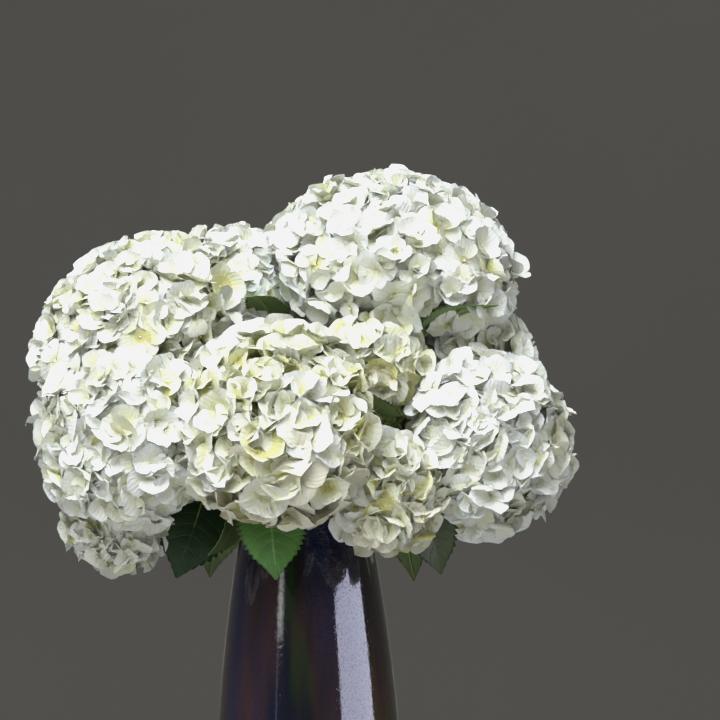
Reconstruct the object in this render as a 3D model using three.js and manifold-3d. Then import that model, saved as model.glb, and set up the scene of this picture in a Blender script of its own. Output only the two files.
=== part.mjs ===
// A full bunch of cut white mophead hydrangeas standing in a tall, dark glazed vase.
// Millimetres, +Z up. The origin is the centre of the vase's flat foot, and -Y is the front.

import * as THREE from "three";
import { mergeVertices } from "three/addons/utils/BufferGeometryUtils.js";
import Module from "manifold-3d";

const wasm = await Module();
wasm.setup();

const UP = new THREE.Vector3(0, 0, 1);
const CLEARANCE = 0.3; // gap between two pieces that touch on the real bunch
const SEED = 20;

// The vase: a narrow neck, a long shoulder and a belly low down, drawn as two parabolas.
const VASE = {
  height: 380,
  bellyRadius: 72.7,
  bellyHeight: 115,
  neckRadius: 49,
  footRadius: 58,
  footChamfer: 2.5,
  lipHeight: 6,
  lipRadius: 51.5,
  wall: 6,
  floor: 10,
  outsideSteps: 8,
  insideSteps: 4,
  sides: 32,
};

// A stem's radius at its cut end and under its flower head.
const STEM = { footRadius: 4.4, tipRadius: 3.5, sides: 6, steps: 8 };

// Where the stems pass the vase's mouth: two rings, and the angle at which each ring starts.
const MOUTH = {
  outer: { radius: 31, start: 12 },
  inner: { radius: 13, start: 10 },
};
const TWIST = 50; // degrees that the bunch turns between the mouth and the vase's floor

// The flower heads, in their order round each ring: the centre, the way the dome faces, its
// radius across, how high it rises above the centre, and how far its stem goes before it bends.
const HEADS = [
  {
    name: "crown_right", ring: "inner", bend: 60,
    at: [72, -8, 568], faces: [0.22, -0.36, 0.9], radius: 106, rise: 81,
  },
  {
    name: "crown_back", ring: "inner", bend: 60,
    at: [4, 94, 544], faces: [0, 0.62, 0.78], radius: 90, rise: 68,
  },
  {
    name: "crown_left", ring: "inner", bend: 60,
    at: [-56, 22, 552], faces: [-0.3, -0.2, 0.93], radius: 67, rise: 62,
  },
  {
    name: "heart", ring: "inner", bend: 50,
    at: [57, -64, 492], faces: [0.1, -0.95, 0.3], radius: 45, rise: 38,
  },
  {
    name: "shoulder_right", ring: "outer", bend: 45,
    at: [121, 12, 503], faces: [0.62, -0.25, 0.6], radius: 70, rise: 56,
  },
  {
    name: "back_right", ring: "outer", bend: 40,
    at: [116, 84, 448], faces: [0.74, 0.62, 0.25], radius: 86, rise: 64,
  },
  {
    name: "back_low", ring: "outer", bend: 36,
    at: [4, 126, 430], faces: [0, 0.97, 0.1], radius: 82, rise: 60,
  },
  {
    name: "back_left", ring: "outer", bend: 40,
    at: [-112, 78, 462], faces: [-0.74, 0.62, 0.25], radius: 86, rise: 64,
  },
  {
    name: "shoulder_left", ring: "outer", bend: 50,
    at: [-126, -22, 521], faces: [-0.5, -0.45, 0.72], radius: 91, rise: 70,
  },
  {
    name: "side_left_low", ring: "outer", bend: 42,
    at: [-144, -34, 378], faces: [-0.55, -0.62, -0.5], radius: 50, rise: 42,
  },
  {
    name: "side_left", ring: "outer", bend: 38,
    at: [-130, -66, 439], faces: [-0.42, -0.88, 0.12], radius: 82, rise: 64,
  },
  {
    name: "front", ring: "outer", bend: 34,
    at: [-17, -108, 439], faces: [-0.05, -0.95, 0.28], radius: 82, rise: 70,
  },
  {
    name: "front_low", ring: "outer", bend: 26,
    at: [64, -88, 392], faces: [0.25, -0.9, -0.2], radius: 54, rise: 46,
  },
  {
    name: "side_right", ring: "outer", bend: 36,
    at: [136, -52, 430], faces: [0.5, -0.84, 0.1], radius: 79, rise: 64,
  },
];
const DROP_SHARE = 0.56; // a dome's depth below its centre, as a share of its radius
const BORDER = 0.02; // share of a dome that stays clear beside a head that it presses against

// The florets on a head. Shares are of the distance from the head's centre to its surface.
const FLORET = {
  spacing: 52,
  radius: 26,
  dome: 130, // degrees from the top of the head to its last florets
  petals: 4,
  notchRadius: 17,
  lowest: 0.93, // the deepest-set florets
  cup: 0.93,
  notch: 0.97,
  root: 0.78,
  leastRoom: 0.7,
};
const CORE = { share: 0.84, around: 10, rings: 6 };
const STALK = { length: 14, root: 0.5 };

// The leaves: the stem that each grows on and how far up it above the mouth, the blade's base
// and tip, the way its upper face looks, its greatest width, and how far its midrib arches.
const LEAVES = [
  {
    name: "leaf_front", stem: "front", along: 0.3, width: 56, arch: 8,
    base: [-27, -80, 384], tip: [-21, -88, 325], looks: [0.08, -0.92, 0.4],
  },
  {
    name: "leaf_left_near", stem: "side_left", along: 0.22, width: 50, arch: 7,
    base: [-52, -42, 399], tip: [-68, -62, 345], looks: [0.85, -0.45, 0.2],
  },
  {
    name: "leaf_left_far", stem: "side_left_low", along: 0.4, width: 62, arch: 7,
    base: [-76, -22, 397], tip: [-98, -38, 331], looks: [0.25, -0.9, 0.35],
  },
  {
    name: "leaf_left_under", stem: "shoulder_left", along: 0.12, width: 54, arch: 6,
    base: [-62, 36, 406], tip: [-82, 44, 355], looks: [-0.3, -0.9, 0.2],
  },
  {
    name: "leaf_heart", stem: "front_low", along: 0.55, width: 40, arch: -8,
    base: [66, -62, 448], tip: [48, -106, 466], looks: [0.25, 0.35, 0.9],
  },
  {
    name: "leaf_under_crown", stem: "shoulder_right", along: 0.8, width: 52, arch: 5,
    base: [90, -46, 510], tip: [150, -76, 530], looks: [-0.25, 0.1, 0.96],
  },
  {
    name: "leaf_upper_left", stem: "crown_left", along: 0.7, width: 44, arch: 4,
    base: [-22, -14, 527], tip: [-34, -72, 541], looks: [0.1, 0.25, 0.95],
  },
  {
    name: "leaf_right_back", stem: "side_right", along: 0.2, width: 52, arch: 6,
    base: [84, 6, 398], tip: [104, 16, 334], looks: [0.25, -0.9, 0.3],
  },
  {
    name: "leaf_back_left", stem: "back_left", along: 0.3, width: 60, arch: 8,
    base: [-52, 62, 402], tip: [-78, 92, 340], looks: [-0.5, 0.75, 0.4],
  },
  {
    name: "leaf_back_right", stem: "back_right", along: 0.3, width: 58, arch: 8,
    base: [58, 62, 398], tip: [84, 86, 334], looks: [0.6, 0.7, 0.4],
  },
  {
    name: "leaf_back", stem: "back_low", along: 0.3, width: 60, arch: 8,
    base: [2, 78, 384], tip: [-6, 92, 322], looks: [0, 0.9, 0.4],
  },
  {
    name: "leaf_back_upper", stem: "crown_back", along: 0.6, width: 56, arch: 6,
    base: [-22, 78, 484], tip: [46, 84, 500], looks: [0, 0.9, 0.4],
  },
  {
    name: "leaf_side_right", stem: "shoulder_right", along: 0.5, width: 60, arch: 7,
    base: [98, 14, 448], tip: [124, 20, 388], looks: [0.95, 0, 0.35],
  },
  {
    name: "leaf_side_left", stem: "shoulder_left", along: 0.5, width: 60, arch: 7,
    base: [-96, 16, 446], tip: [-120, 20, 386], looks: [-0.95, 0, 0.35],
  },
];
const BLADE = { thickness: 1.3, stations: 9, tooth: 0.07, fold: 0.16, stalkReach: 9 };
const PETIOLE = { footRadius: 2.4, tipRadius: 1.6, sides: 5, steps: 3, rise: 0.12 };

const COLOURS = {
  glaze: { color: 0x1c1a1d, roughness: 0.12, metalness: 0.35 },
  petals: { color: 0xf1f0e2, roughness: 0.7, metalness: 0 },
  stem: { color: 0x6f8a3a, roughness: 0.6, metalness: 0 },
  leaf: { color: 0x2f5a22, roughness: 0.5, metalness: 0 },
};

// Small helpers

const vector = (xyz) => new THREE.Vector3(...xyz);
const { degToRad, lerp, seededRandom } = THREE.MathUtils;

// Two unit vectors square to an axis and to each other.
function sideVectors(axis) {
  const hint = Math.abs(axis.z) < 0.9 ? UP : new THREE.Vector3(1, 0, 0);
  const u = new THREE.Vector3().crossVectors(hint, axis).normalize();
  return [u, new THREE.Vector3().crossVectors(axis, u).normalize()];
}

// The two triangles of a four-sided face.
const quad = (a, b, c, d) => [
  [a, b, c],
  [a, c, d],
];

function geometryOf(points, faces) {
  const geometry = new THREE.BufferGeometry().setFromPoints(points);
  geometry.setIndex(faces.flat());
  return geometry;
}

function solidOf(geometry) {
  const bare = geometry.clone();
  bare.deleteAttribute("normal");
  bare.deleteAttribute("uv");
  const merged = mergeVertices(bare, 1e-4);
  return new wasm.Manifold(
    new wasm.Mesh({
      numProp: 3,
      vertProperties: new Float32Array(merged.attributes.position.array),
      triVerts: new Uint32Array(merged.index.array),
    }),
  );
}

const joined = (solids) => solids.reduce((whole, solid) => whole.add(solid));

// The mesh of a solid's largest body, so that a scrap left by a cut is dropped.
function meshOf(name, solid, finish) {
  const bodies = solid.decompose().sort((a, b) => b.volume() - a.volume());
  const { vertProperties, triVerts } = bodies[0].getMesh();
  const geometry = new THREE.BufferGeometry();
  geometry.setAttribute("position", new THREE.BufferAttribute(vertProperties, 3));
  geometry.setIndex(new THREE.BufferAttribute(triVerts, 1));
  geometry.computeVertexNormals();
  const mesh = new THREE.Mesh(geometry, new THREE.MeshStandardMaterial(finish));
  mesh.name = name;
  return mesh;
}

// A closed, tapering round limb through the given points.
function limb(points, startRadius, endRadius, sides) {
  const rings = [];
  const last = points.length - 1;
  let u = null;
  points.forEach((point, i) => {
    const along = new THREE.Vector3()
      .subVectors(points[Math.min(i + 1, last)], points[Math.max(i - 1, 0)])
      .normalize();
    u = u ? u.clone().addScaledVector(along, -u.dot(along)).normalize() : sideVectors(along)[0];
    const v = new THREE.Vector3().crossVectors(along, u);
    const radius = lerp(startRadius, endRadius, i / last);
    for (let k = 0; k < sides; k += 1) {
      const angle = (2 * Math.PI * k) / sides;
      rings.push(
        point
          .clone()
          .addScaledVector(u, radius * Math.cos(angle))
          .addScaledVector(v, radius * Math.sin(angle)),
      );
    }
  });
  const faces = [];
  for (let i = 0; i < last; i += 1) {
    for (let k = 0; k < sides; k += 1) {
      const a = i * sides + k;
      const b = i * sides + ((k + 1) % sides);
      faces.push(...quad(a, b, b + sides, a + sides));
    }
  }
  for (let k = 1; k < sides - 1; k += 1) {
    faces.push([0, k + 1, k], [last * sides, last * sides + k, last * sides + k + 1]);
  }
  return solidOf(geometryOf(rings, faces));
}

// The vase

function vaseRadiusAt(z) {
  const { height, bellyRadius, bellyHeight, neckRadius, footRadius, lipHeight } = VASE;
  const above = z > bellyHeight;
  const reach = above ? height - lipHeight - bellyHeight : bellyHeight;
  const narrowing = bellyRadius - (above ? neckRadius : footRadius);
  return bellyRadius - narrowing * ((z - bellyHeight) / reach) ** 2;
}

function makeVase() {
  const { height, lipHeight, lipRadius, wall, floor, footRadius, footChamfer, sides } = VASE;
  const neckTop = height - lipHeight;
  const wallPoints = (bottom, steps, inset) =>
    Array.from({ length: steps + 1 }, (_, i) => {
      const z = lerp(bottom, neckTop, i / steps);
      return new THREE.Vector2(vaseRadiusAt(z) - inset, z);
    });
  const outside = [
    new THREE.Vector2(0, 0),
    new THREE.Vector2(footRadius - footChamfer, 0),
    ...wallPoints(footChamfer, VASE.outsideSteps, 0),
  ];
  const inside = wallPoints(floor, VASE.insideSteps, wall).reverse();
  const lip = [
    new THREE.Vector2(lipRadius, neckTop + lipHeight * 0.2),
    new THREE.Vector2(lipRadius, height - lipHeight * 0.3),
    new THREE.Vector2(lipRadius - lipHeight * 0.3, height),
    new THREE.Vector2(lipRadius - wall, height),
  ];
  const profile = [...outside, ...lip, ...inside, new THREE.Vector2(0, floor)];
  const turned = new THREE.LatheGeometry(profile, sides).rotateX(Math.PI / 2);
  return meshOf("vase", solidOf(turned), COLOURS.glaze);
}

// The stems

// A head with the points that its stem runs through worked out.
function placeHead(head) {
  const mates = HEADS.filter((other) => other.ring === head.ring);
  const { radius, start } = MOUTH[head.ring];
  const turn = degToRad(start + (360 / mates.length) * mates.indexOf(head));
  const twist = degToRad(TWIST);
  const lean = (2 * radius * Math.sin(twist / 2)) / (VASE.height - VASE.floor);
  const onRing = (angle, z) => new THREE.Vector3(radius * Math.cos(angle), radius * Math.sin(angle), z);
  const axis = vector(head.faces).normalize();
  const centre = vector(head.at);
  const drop = DROP_SHARE * head.radius;
  return {
    ...head,
    axis,
    centre,
    drop,
    foot: onRing(turn - twist, VASE.floor + CLEARANCE + STEM.footRadius * lean),
    mouth: onRing(turn, VASE.height),
    neck: centre.clone().addScaledVector(axis, -drop - STALK.length),
  };
}

const heads = HEADS.map(placeHead);

// The curve of a stem from the vase's mouth to the stalk of its head.
function stemCurve(head) {
  const rising = head.mouth.clone().sub(head.foot).normalize();
  const end = head.neck.clone().addScaledVector(head.axis, -CLEARANCE);
  return new THREE.CubicBezierCurve3(
    head.mouth,
    head.mouth.clone().addScaledVector(rising, head.bend),
    end.clone().addScaledVector(head.axis, -head.bend * 0.8),
    end,
  );
}

const makeStem = (head, extra = 0) =>
  limb(
    [head.foot, ...stemCurve(head).getPoints(STEM.steps)],
    STEM.footRadius + extra,
    STEM.tipRadius + extra,
    STEM.sides,
  );

// The flower heads

// 1 on a head's outer surface, less inside it and more outside.
function depthIn(head, point) {
  const from = point.clone().sub(head.centre);
  const height = from.dot(head.axis);
  const across = Math.sqrt(Math.max(0, from.lengthSq() - height * height));
  return Math.hypot(across / head.radius, height / (height > 0 ? head.rise : head.drop));
}

// How far a head reaches from its centre in a direction: to its own surface, or to its border
// with the neighbour it presses against.
function reachOf(head, direction) {
  const full = 1 / depthIn(head, head.centre.clone().add(direction));
  const clearAt = (distance) => {
    const point = head.centre.clone().addScaledVector(direction, distance);
    const own = distance / full;
    return heads.every((other) => other === head || own <= depthIn(other, point) - BORDER);
  };
  const steps = 24;
  let clear = 0;
  let step = 1;
  while (step <= steps && clearAt((full * step) / steps)) {
    clear = (full * step) / steps;
    step += 1;
  }
  if (step > steps) return full;
  let blocked = (full * step) / steps;
  for (let i = 0; i < 8; i += 1) {
    const middle = (clear + blocked) / 2;
    if (clearAt(middle)) clear = middle;
    else blocked = middle;
  }
  return clear;
}

function makeCore(head) {
  const ball = new THREE.SphereGeometry(1, CORE.around, CORE.rings);
  ball.deleteAttribute("normal");
  ball.deleteAttribute("uv");
  const core = mergeVertices(ball, 1e-4);
  const turn = new THREE.Quaternion().setFromUnitVectors(new THREE.Vector3(0, 1, 0), head.axis);
  const position = core.attributes.position;
  for (let i = 0; i < position.count; i += 1) {
    const direction = new THREE.Vector3().fromBufferAttribute(position, i).normalize();
    direction.applyQuaternion(turn);
    const point = head.centre.clone().addScaledVector(direction, CORE.share * reachOf(head, direction));
    position.setXYZ(i, point.x, point.y, point.z);
  }
  return solidOf(core);
}

// One four-petalled floret: a cupped cone whose point is sunk in the core.
function makeFloret(head, direction) {
  const reach = reachOf(head, direction);
  const level = lerp(FLORET.lowest, 1, seededRandom());
  const turn = seededRandom() * 2 * Math.PI;
  const [u, v] = sideVectors(direction);
  const onHead = (angle, radius, share) => {
    const beside = direction
      .clone()
      .multiplyScalar(reach)
      .addScaledVector(u, radius * Math.cos(angle))
      .addScaledVector(v, radius * Math.sin(angle))
      .normalize();
    return head.centre.clone().addScaledVector(beside, share * level * reachOf(head, beside));
  };
  const points = [];
  for (let petal = 0; petal < FLORET.petals; petal += 1) {
    const middle = turn + (petal * 2 * Math.PI) / FLORET.petals;
    points.push(onHead(middle, FLORET.radius, 1));
    points.push(onHead(middle + Math.PI / FLORET.petals, FLORET.notchRadius, FLORET.notch));
  }
  const rim = points.length;
  points.push(head.centre.clone().addScaledVector(direction, FLORET.cup * level * reach));
  points.push(head.centre.clone().addScaledVector(direction, FLORET.root * reach));
  const faces = [];
  for (let k = 0; k < rim; k += 1) {
    const next = (k + 1) % rim;
    faces.push([rim, k, next], [rim + 1, next, k]);
  }
  return solidOf(geometryOf(points, faces));
}

// Evenly spread directions over the part of the dome that carries florets.
function floretDirections(head) {
  const lowest = Math.cos(degToRad(FLORET.dome));
  const mean = (head.radius * 2 + head.rise) / 3;
  const count = Math.round((2 * Math.PI * mean ** 2 * (1 - lowest)) / FLORET.spacing ** 2);
  const golden = Math.PI * (3 - Math.sqrt(5));
  const [u, v] = sideVectors(head.axis);
  return Array.from({ length: count }, (_, i) => {
    const height = 1 - ((i + 0.5) / count) * (1 - lowest);
    const across = Math.sqrt(1 - height * height);
    return head.axis
      .clone()
      .multiplyScalar(height)
      .addScaledVector(u, across * Math.cos(golden * i))
      .addScaledVector(v, across * Math.sin(golden * i));
  });
}

function makeHead(head) {
  const root = head.centre.clone().addScaledVector(head.axis, -head.drop * STALK.root);
  const stalk = limb([head.neck, root], STEM.tipRadius, STEM.tipRadius * 2, STEM.sides);
  const florets = floretDirections(head)
    .filter((direction) => {
      const full = 1 / depthIn(head, head.centre.clone().add(direction));
      return reachOf(head, direction) > FLORET.leastRoom * full;
    })
    .map((direction) => makeFloret(head, direction));
  return joined([makeCore(head), stalk, ...florets]);
}

// The leaves

// The half width of an oval, pointed blade, as a share of its greatest, from base to tip.
const bladeShape = (t) => Math.max(0.04, Math.sin(Math.PI * t ** 0.72) ** 0.8 * (1 - 0.28 * t));

function leafFrame(leaf) {
  const head = heads.find(({ name }) => name === leaf.stem);
  const base = vector(leaf.base);
  const tip = vector(leaf.tip);
  const along = tip.clone().sub(base).normalize();
  const looks = vector(leaf.looks);
  looks.addScaledVector(along, -looks.dot(along)).normalize();
  const bend = base.clone().lerp(tip, 0.5).addScaledVector(looks, leaf.arch * 2);
  const onStem = stemCurve(head).getPoint(leaf.along);
  return {
    midrib: new THREE.QuadraticBezierCurve3(base, bend, tip),
    side: new THREE.Vector3().crossVectors(looks, along),
    looks,
    onStem,
  };
}

function makeBlade(leaf, frame, extra) {
  const { stations, tooth, fold } = BLADE;
  const halfThickness = BLADE.thickness / 2 + extra;
  const points = [];
  for (let i = 0; i <= stations; i += 1) {
    const t = i / stations;
    const middle = frame.midrib.getPoint(t);
    const serration = i % 2 ? 1 + tooth : 1 - tooth;
    const half = bladeShape(t) * serration * (leaf.width / 2) + extra;
    for (const across of [-half, 0, half]) {
      const rib = middle.clone().addScaledVector(frame.side, across);
      rib.addScaledVector(frame.looks, Math.abs(across) * fold);
      points.push(rib.clone().addScaledVector(frame.looks, halfThickness));
      points.push(rib.addScaledVector(frame.looks, -halfThickness));
    }
  }
  const [leftTop, leftUnder, midTop, midUnder, rightTop, rightUnder] = [0, 1, 2, 3, 4, 5];
  const loop = [leftTop, leftUnder, midUnder, rightUnder, rightTop, midTop];
  const row = loop.length;
  const faces = [];
  for (let i = 0; i < stations * row; i += row) {
    loop.forEach((corner, k) => {
      const next = loop[(k + 1) % row];
      faces.push(...quad(i + corner, i + next, i + row + next, i + row + corner));
    });
  }
  const end = stations * row;
  faces.push(...quad(leftTop, midTop, midUnder, leftUnder));
  faces.push(...quad(midTop, rightTop, rightUnder, midUnder));
  faces.push(...quad(end + leftUnder, end + midUnder, end + midTop, end + leftTop));
  faces.push(...quad(end + midUnder, end + rightUnder, end + rightTop, end + midTop));
  return solidOf(geometryOf(points, faces));
}

// The leaf's stalk, from inside its stem, where it is cut off later, to well inside the blade.
function makePetiole(frame, extra) {
  const base = frame.midrib.getPoint(0);
  const inBlade = base.clone().addScaledVector(frame.midrib.getTangent(0), BLADE.stalkReach);
  const bend = frame.onStem.clone().lerp(base, 0.5);
  bend.addScaledVector(UP, frame.onStem.distanceTo(base) * PETIOLE.rise);
  const curve = new THREE.QuadraticBezierCurve3(frame.onStem, bend, base);
  return limb(
    [...curve.getPoints(PETIOLE.steps), inBlade],
    PETIOLE.footRadius + extra,
    PETIOLE.tipRadius + extra,
    PETIOLE.sides,
  );
}

function makeLeaf(leaf, extra = 0) {
  const frame = leafFrame(leaf);
  return makeBlade(leaf, frame, extra).add(makePetiole(frame, extra));
}

// The whole bunch

const stemsWithClearance = joined(heads.map((head) => makeStem(head, CLEARANCE)));
const leavesWithClearance = joined(LEAVES.map((leaf) => makeLeaf(leaf, CLEARANCE)));

seededRandom(SEED);
const bunch = new THREE.Group();
bunch.name = "hydrangea_bunch";
bunch.add(makeVase());
for (const head of heads) {
  bunch.add(meshOf(`stem_${head.name}`, makeStem(head), COLOURS.stem));
  const bloom = makeHead(head).subtract(stemsWithClearance).subtract(leavesWithClearance);
  bunch.add(meshOf(`bloom_${head.name}`, bloom, COLOURS.petals));
}
for (const leaf of LEAVES) {
  bunch.add(meshOf(leaf.name, makeLeaf(leaf).subtract(stemsWithClearance), COLOURS.leaf));
}

export default bunch;
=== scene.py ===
"""Looks of a full bunch of cut white mophead hydrangeas in a tall, dark glazed vase.

Lengths are in metres. +Z is up, -Y is the front, and the origin is the centre of the vase's foot.
"""

from __future__ import annotations

import sys

import logging
import math
from dataclasses import dataclass
from enum import Enum
from functools import cache

import bpy
import numpy as np
from bpy.types import Material, Mesh, Node, NodeSocket, NodeTree, Object
from mathutils import Matrix, Quaternion, Vector


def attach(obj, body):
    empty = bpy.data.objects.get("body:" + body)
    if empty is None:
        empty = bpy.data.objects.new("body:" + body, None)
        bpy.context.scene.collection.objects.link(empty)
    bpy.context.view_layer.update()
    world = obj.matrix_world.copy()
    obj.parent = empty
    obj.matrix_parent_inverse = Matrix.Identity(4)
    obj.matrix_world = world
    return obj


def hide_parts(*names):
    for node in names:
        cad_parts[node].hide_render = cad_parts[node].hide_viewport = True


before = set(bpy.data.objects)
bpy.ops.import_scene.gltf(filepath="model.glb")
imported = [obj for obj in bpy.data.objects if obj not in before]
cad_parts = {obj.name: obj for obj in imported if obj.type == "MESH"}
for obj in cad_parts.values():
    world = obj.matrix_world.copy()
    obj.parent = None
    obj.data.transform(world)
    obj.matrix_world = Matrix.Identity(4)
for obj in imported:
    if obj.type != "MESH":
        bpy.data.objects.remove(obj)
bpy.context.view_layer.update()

log = logging.getLogger("hydrangeas")

MM = 0.001
SEED = 20
LUMPS_SEED, RAYS_SEED = 900, 500  # added to a head's own seed
CLEARANCE = 0.3 * MM
DROP_SHARE = 0.56  # a dome's depth below its centre, as a share of its radius
BORDER = 0.02  # share of a dome that stays clear beside a head that it presses against
GOLDEN_ANGLE = math.pi * (3 - math.sqrt(5))
PETAL_MM = 17.5  # the common length of a petal
LIME, BEIGE = 6, 7  # the numbers of the deepest petal tint and of the beige one, painted shade on down-facing florets
VEIN_PAIRS = 7.5  # how many pairs of side veins a leaf has
VEIN_SWEEP = 0.24  # how far they run towards the tip, as a share of the blade
VEIN_BEND = 1.25  # the power of the way out that bends them
UP = np.array([0.0, 0.0, 1.0])

Pair = tuple[float, float]
Triple = tuple[float, float, float]


# Arrays and meshes


def unit(vectors: np.ndarray) -> np.ndarray:
    """Returns the vectors, or the one vector, with length 1."""
    vectors = np.asarray(vectors, float)
    return vectors / np.linalg.norm(vectors, axis=-1, keepdims=True)


def golden_spread(axis: np.ndarray, count: int, depth: float) -> np.ndarray:
    """Spreads directions evenly round an axis, from its own way downwards.

    Args:
        axis: a unit vector.
        count: how many directions to make.
        depth: how far down a ball of radius 1 they go, from its top.

    Returns:
        One unit vector for each.
    """
    number = np.arange(count)
    height = 1 - (number + 0.5) / count * depth
    across = np.sqrt(1 - height**2)
    angle = GOLDEN_ANGLE * number
    u = unit(np.cross(UP if abs(axis[2]) < 0.9 else np.array([1.0, 0.0, 0.0]), axis))
    v = unit(np.cross(axis, u))
    return (
        height[:, None] * axis
        + (across * np.cos(angle))[:, None] * u
        + (across * np.sin(angle))[:, None] * v
    )


def bezier(points: list[np.ndarray], t: np.ndarray) -> np.ndarray:
    """Evaluates a Bezier curve.

    Args:
        points: its three or four control points.
        t: where on the curve, from 0 to 1.

    Returns:
        One point for each t.
    """
    order = len(points) - 1
    t = np.atleast_1d(t)[:, None]
    return sum(
        math.comb(order, i) * t**i * (1 - t) ** (order - i) * point
        for i, point in enumerate(points)
    )


def turned_rings(profile: list[Pair], sides: int) -> np.ndarray:
    """Turns the points of a profile round the upright axis.

    Args:
        profile: the radius and height of each ring.
        sides: how many points a ring has.

    Returns:
        The points, ring by ring.
    """
    turns = 2 * math.pi * np.arange(sides) / sides
    circle = np.stack([np.cos(turns), np.sin(turns)], 1)
    return np.vstack([np.column_stack([circle * radius, np.full(sides, z)]) for radius, z in profile])


def new_object(name: str, data: bpy.types.ID) -> Object:
    """Returns a new object of the mesh, lamp or camera, linked to the scene."""
    made = bpy.data.objects.new(name, data)
    bpy.context.scene.collection.objects.link(made)
    return made


def mesh_of(name: str, points: np.ndarray, faces: list[tuple[int, ...]]) -> Mesh:
    """Makes a smooth-shaded mesh.

    Args:
        name: the mesh's name.
        points: its vertices.
        faces: the vertex numbers of each face.

    Returns:
        The mesh.
    """
    mesh = bpy.data.meshes.new(name)
    mesh.from_pydata(np.asarray(points, float).tolist(), [], faces)
    mesh.shade_smooth()
    mesh.update()
    return mesh


def grid_faces(rows: int, columns: int, first: int = 0, around: bool = False) -> list[tuple[int, ...]]:
    """Lists the four-sided faces of a grid of vertices.

    Args:
        rows: how many rows of vertices there are.
        columns: how many vertices a row has.
        first: the number of the grid's first vertex.
        around: whether each row closes on itself.

    Returns:
        The faces, each turned the same way.
    """
    faces = []
    for i in range(rows - 1):
        for j in range(columns if around else columns - 1):
            a = first + i * columns + j
            b = first + i * columns + (j + 1) % columns
            faces.append((a, b, b + columns, a + columns))
    return faces


def add_attributes(mesh: Mesh, domain: str, **rows: tuple[str, np.ndarray | list]) -> None:
    """Writes named attributes.

    Args:
        mesh: the mesh that gets them.
        domain: POINT or FACE.
        **rows: each one's type, which is FLOAT, INT or FLOAT_VECTOR, and its values.
    """
    for name, (kind, values) in rows.items():
        data = mesh.attributes.new(name, kind, domain).data
        numbers = np.asarray(values, np.int32 if kind == "INT" else np.float32)
        data.foreach_set("vector" if kind == "FLOAT_VECTOR" else "value", numbers.ravel())


def add_uv(mesh: Mesh, places: np.ndarray) -> None:
    """Writes a UV map.

    Args:
        mesh: the mesh that gets it.
        places: one place for each vertex.
    """
    corners = np.empty(len(mesh.loops), np.int32)
    mesh.loops.foreach_get("vertex_index", corners)
    mesh.uv_layers.new(name="UVMap").data.foreach_set("uv", places[corners].ravel())


# Node trees


class NodeSheet:
    """A node tree with short ways to add a node, set its inputs and link them."""

    def __init__(self, tree: NodeTree) -> None:
        """Takes the tree to add to."""
        self.tree = tree

    def fill(self, node: Node, inputs: dict) -> None:
        """Sets or links inputs of a node.

        Args:
            node: the node.
            inputs: a value, or an output to link, for inputs by name or number. _ is a space.
        """
        for key, value in inputs.items():
            socket = node.inputs[key.replace("_", " ") if isinstance(key, str) else key]
            if isinstance(value, NodeSocket):
                self.tree.links.new(value, socket)
            else:
                socket.default_value = value

    def add(self, kind: str, inputs: dict | None = None, **settings: object) -> Node:
        """Adds a node.

        Args:
            kind: the node's type name.
            inputs: its inputs, as fill takes them.
            **settings: the node's own properties.

        Returns:
            The new node.
        """
        node = self.tree.nodes.new(kind)
        for name, value in settings.items():
            setattr(node, name, value)
        self.fill(node, inputs or {})
        return node

    def math(self, operation: str, *values: object) -> NodeSocket:
        """Returns the output of a Math node with these inputs."""
        return self.add("ShaderNodeMath", dict(enumerate(values)), operation=operation).outputs[0]

    def remap(
        self, value: object, source: tuple = (0.0, 1.0), target: Pair = (0.0, 1.0), **settings: object
    ) -> NodeSocket:
        """Turns one range of a value into another, and holds it at the ends.

        Args:
            value: the value.
            source: the two ends of its own range.
            target: what they become.
            **settings: the node's own properties.

        Returns:
            The new value.
        """
        ends = dict(zip(("From Min", "From Max", "To Min", "To Max"), (*source, *target)))
        return self.add("ShaderNodeMapRange", {"Value": value, **ends}, **settings).outputs[0]

    def noise(self, vector: object, scale: object, detail: float) -> NodeSocket:
        """Returns a soft noise."""
        inputs = {"Vector": vector, "Scale": scale, "Detail": detail}
        return self.add("ShaderNodeTexNoise", inputs).outputs[0]

    def cells(self, vector: object, scale: float, **settings: object) -> NodeSocket:
        """Returns the distances in a pattern of cells."""
        inputs = {"Vector": vector, "Scale": scale}
        return self.add("ShaderNodeTexVoronoi", inputs, **settings).outputs["Distance"]

    def mapped(self, vector: object, **inputs: Triple) -> NodeSocket:
        """Returns the vector, stretched or moved."""
        return self.add("ShaderNodeMapping", {"Vector": vector, **inputs}).outputs[0]

    def mix(self, factor: object, first: object, second: object) -> NodeSocket:
        """Returns the blend of two colours, each of them three numbers or another output."""
        ends = [(*end, 1.0) if isinstance(end, tuple) else end for end in (first, second)]
        return self.add("ShaderNodeMix", {0: factor, 6: ends[0], 7: ends[1]}, data_type="RGBA").outputs[2]

    def attribute(self, name: str, kind: str) -> NodeSocket:
        """Returns a named attribute of the geometry."""
        return self.add("GeometryNodeInputNamedAttribute", {"Name": name}, data_type=kind).outputs[0]


class NodeGroup(NodeSheet):
    """A node group with named inputs and outputs."""

    def __init__(self, name: str, kind: str, inputs: dict[str, str], outputs: dict[str, str]) -> None:
        """Starts the group.

        Args:
            name: its name.
            kind: Shader or Geometry.
            inputs: the type of each input.
            outputs: the type of each output.
        """
        super().__init__(bpy.data.node_groups.new(name, f"{kind}NodeTree"))
        for direction, sockets in (("INPUT", inputs), ("OUTPUT", outputs)):
            for label, socket in sockets.items():
                full = f"NodeSocket{socket}"
                self.tree.interface.new_socket(label, in_out=direction, socket_type=full)
        self.given = self.add("NodeGroupInput").outputs

    def close(self, **outputs: NodeSocket) -> NodeTree:
        """Links the group's outputs and returns its tree."""
        self.add("NodeGroupOutput", outputs)
        return self.tree


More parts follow.
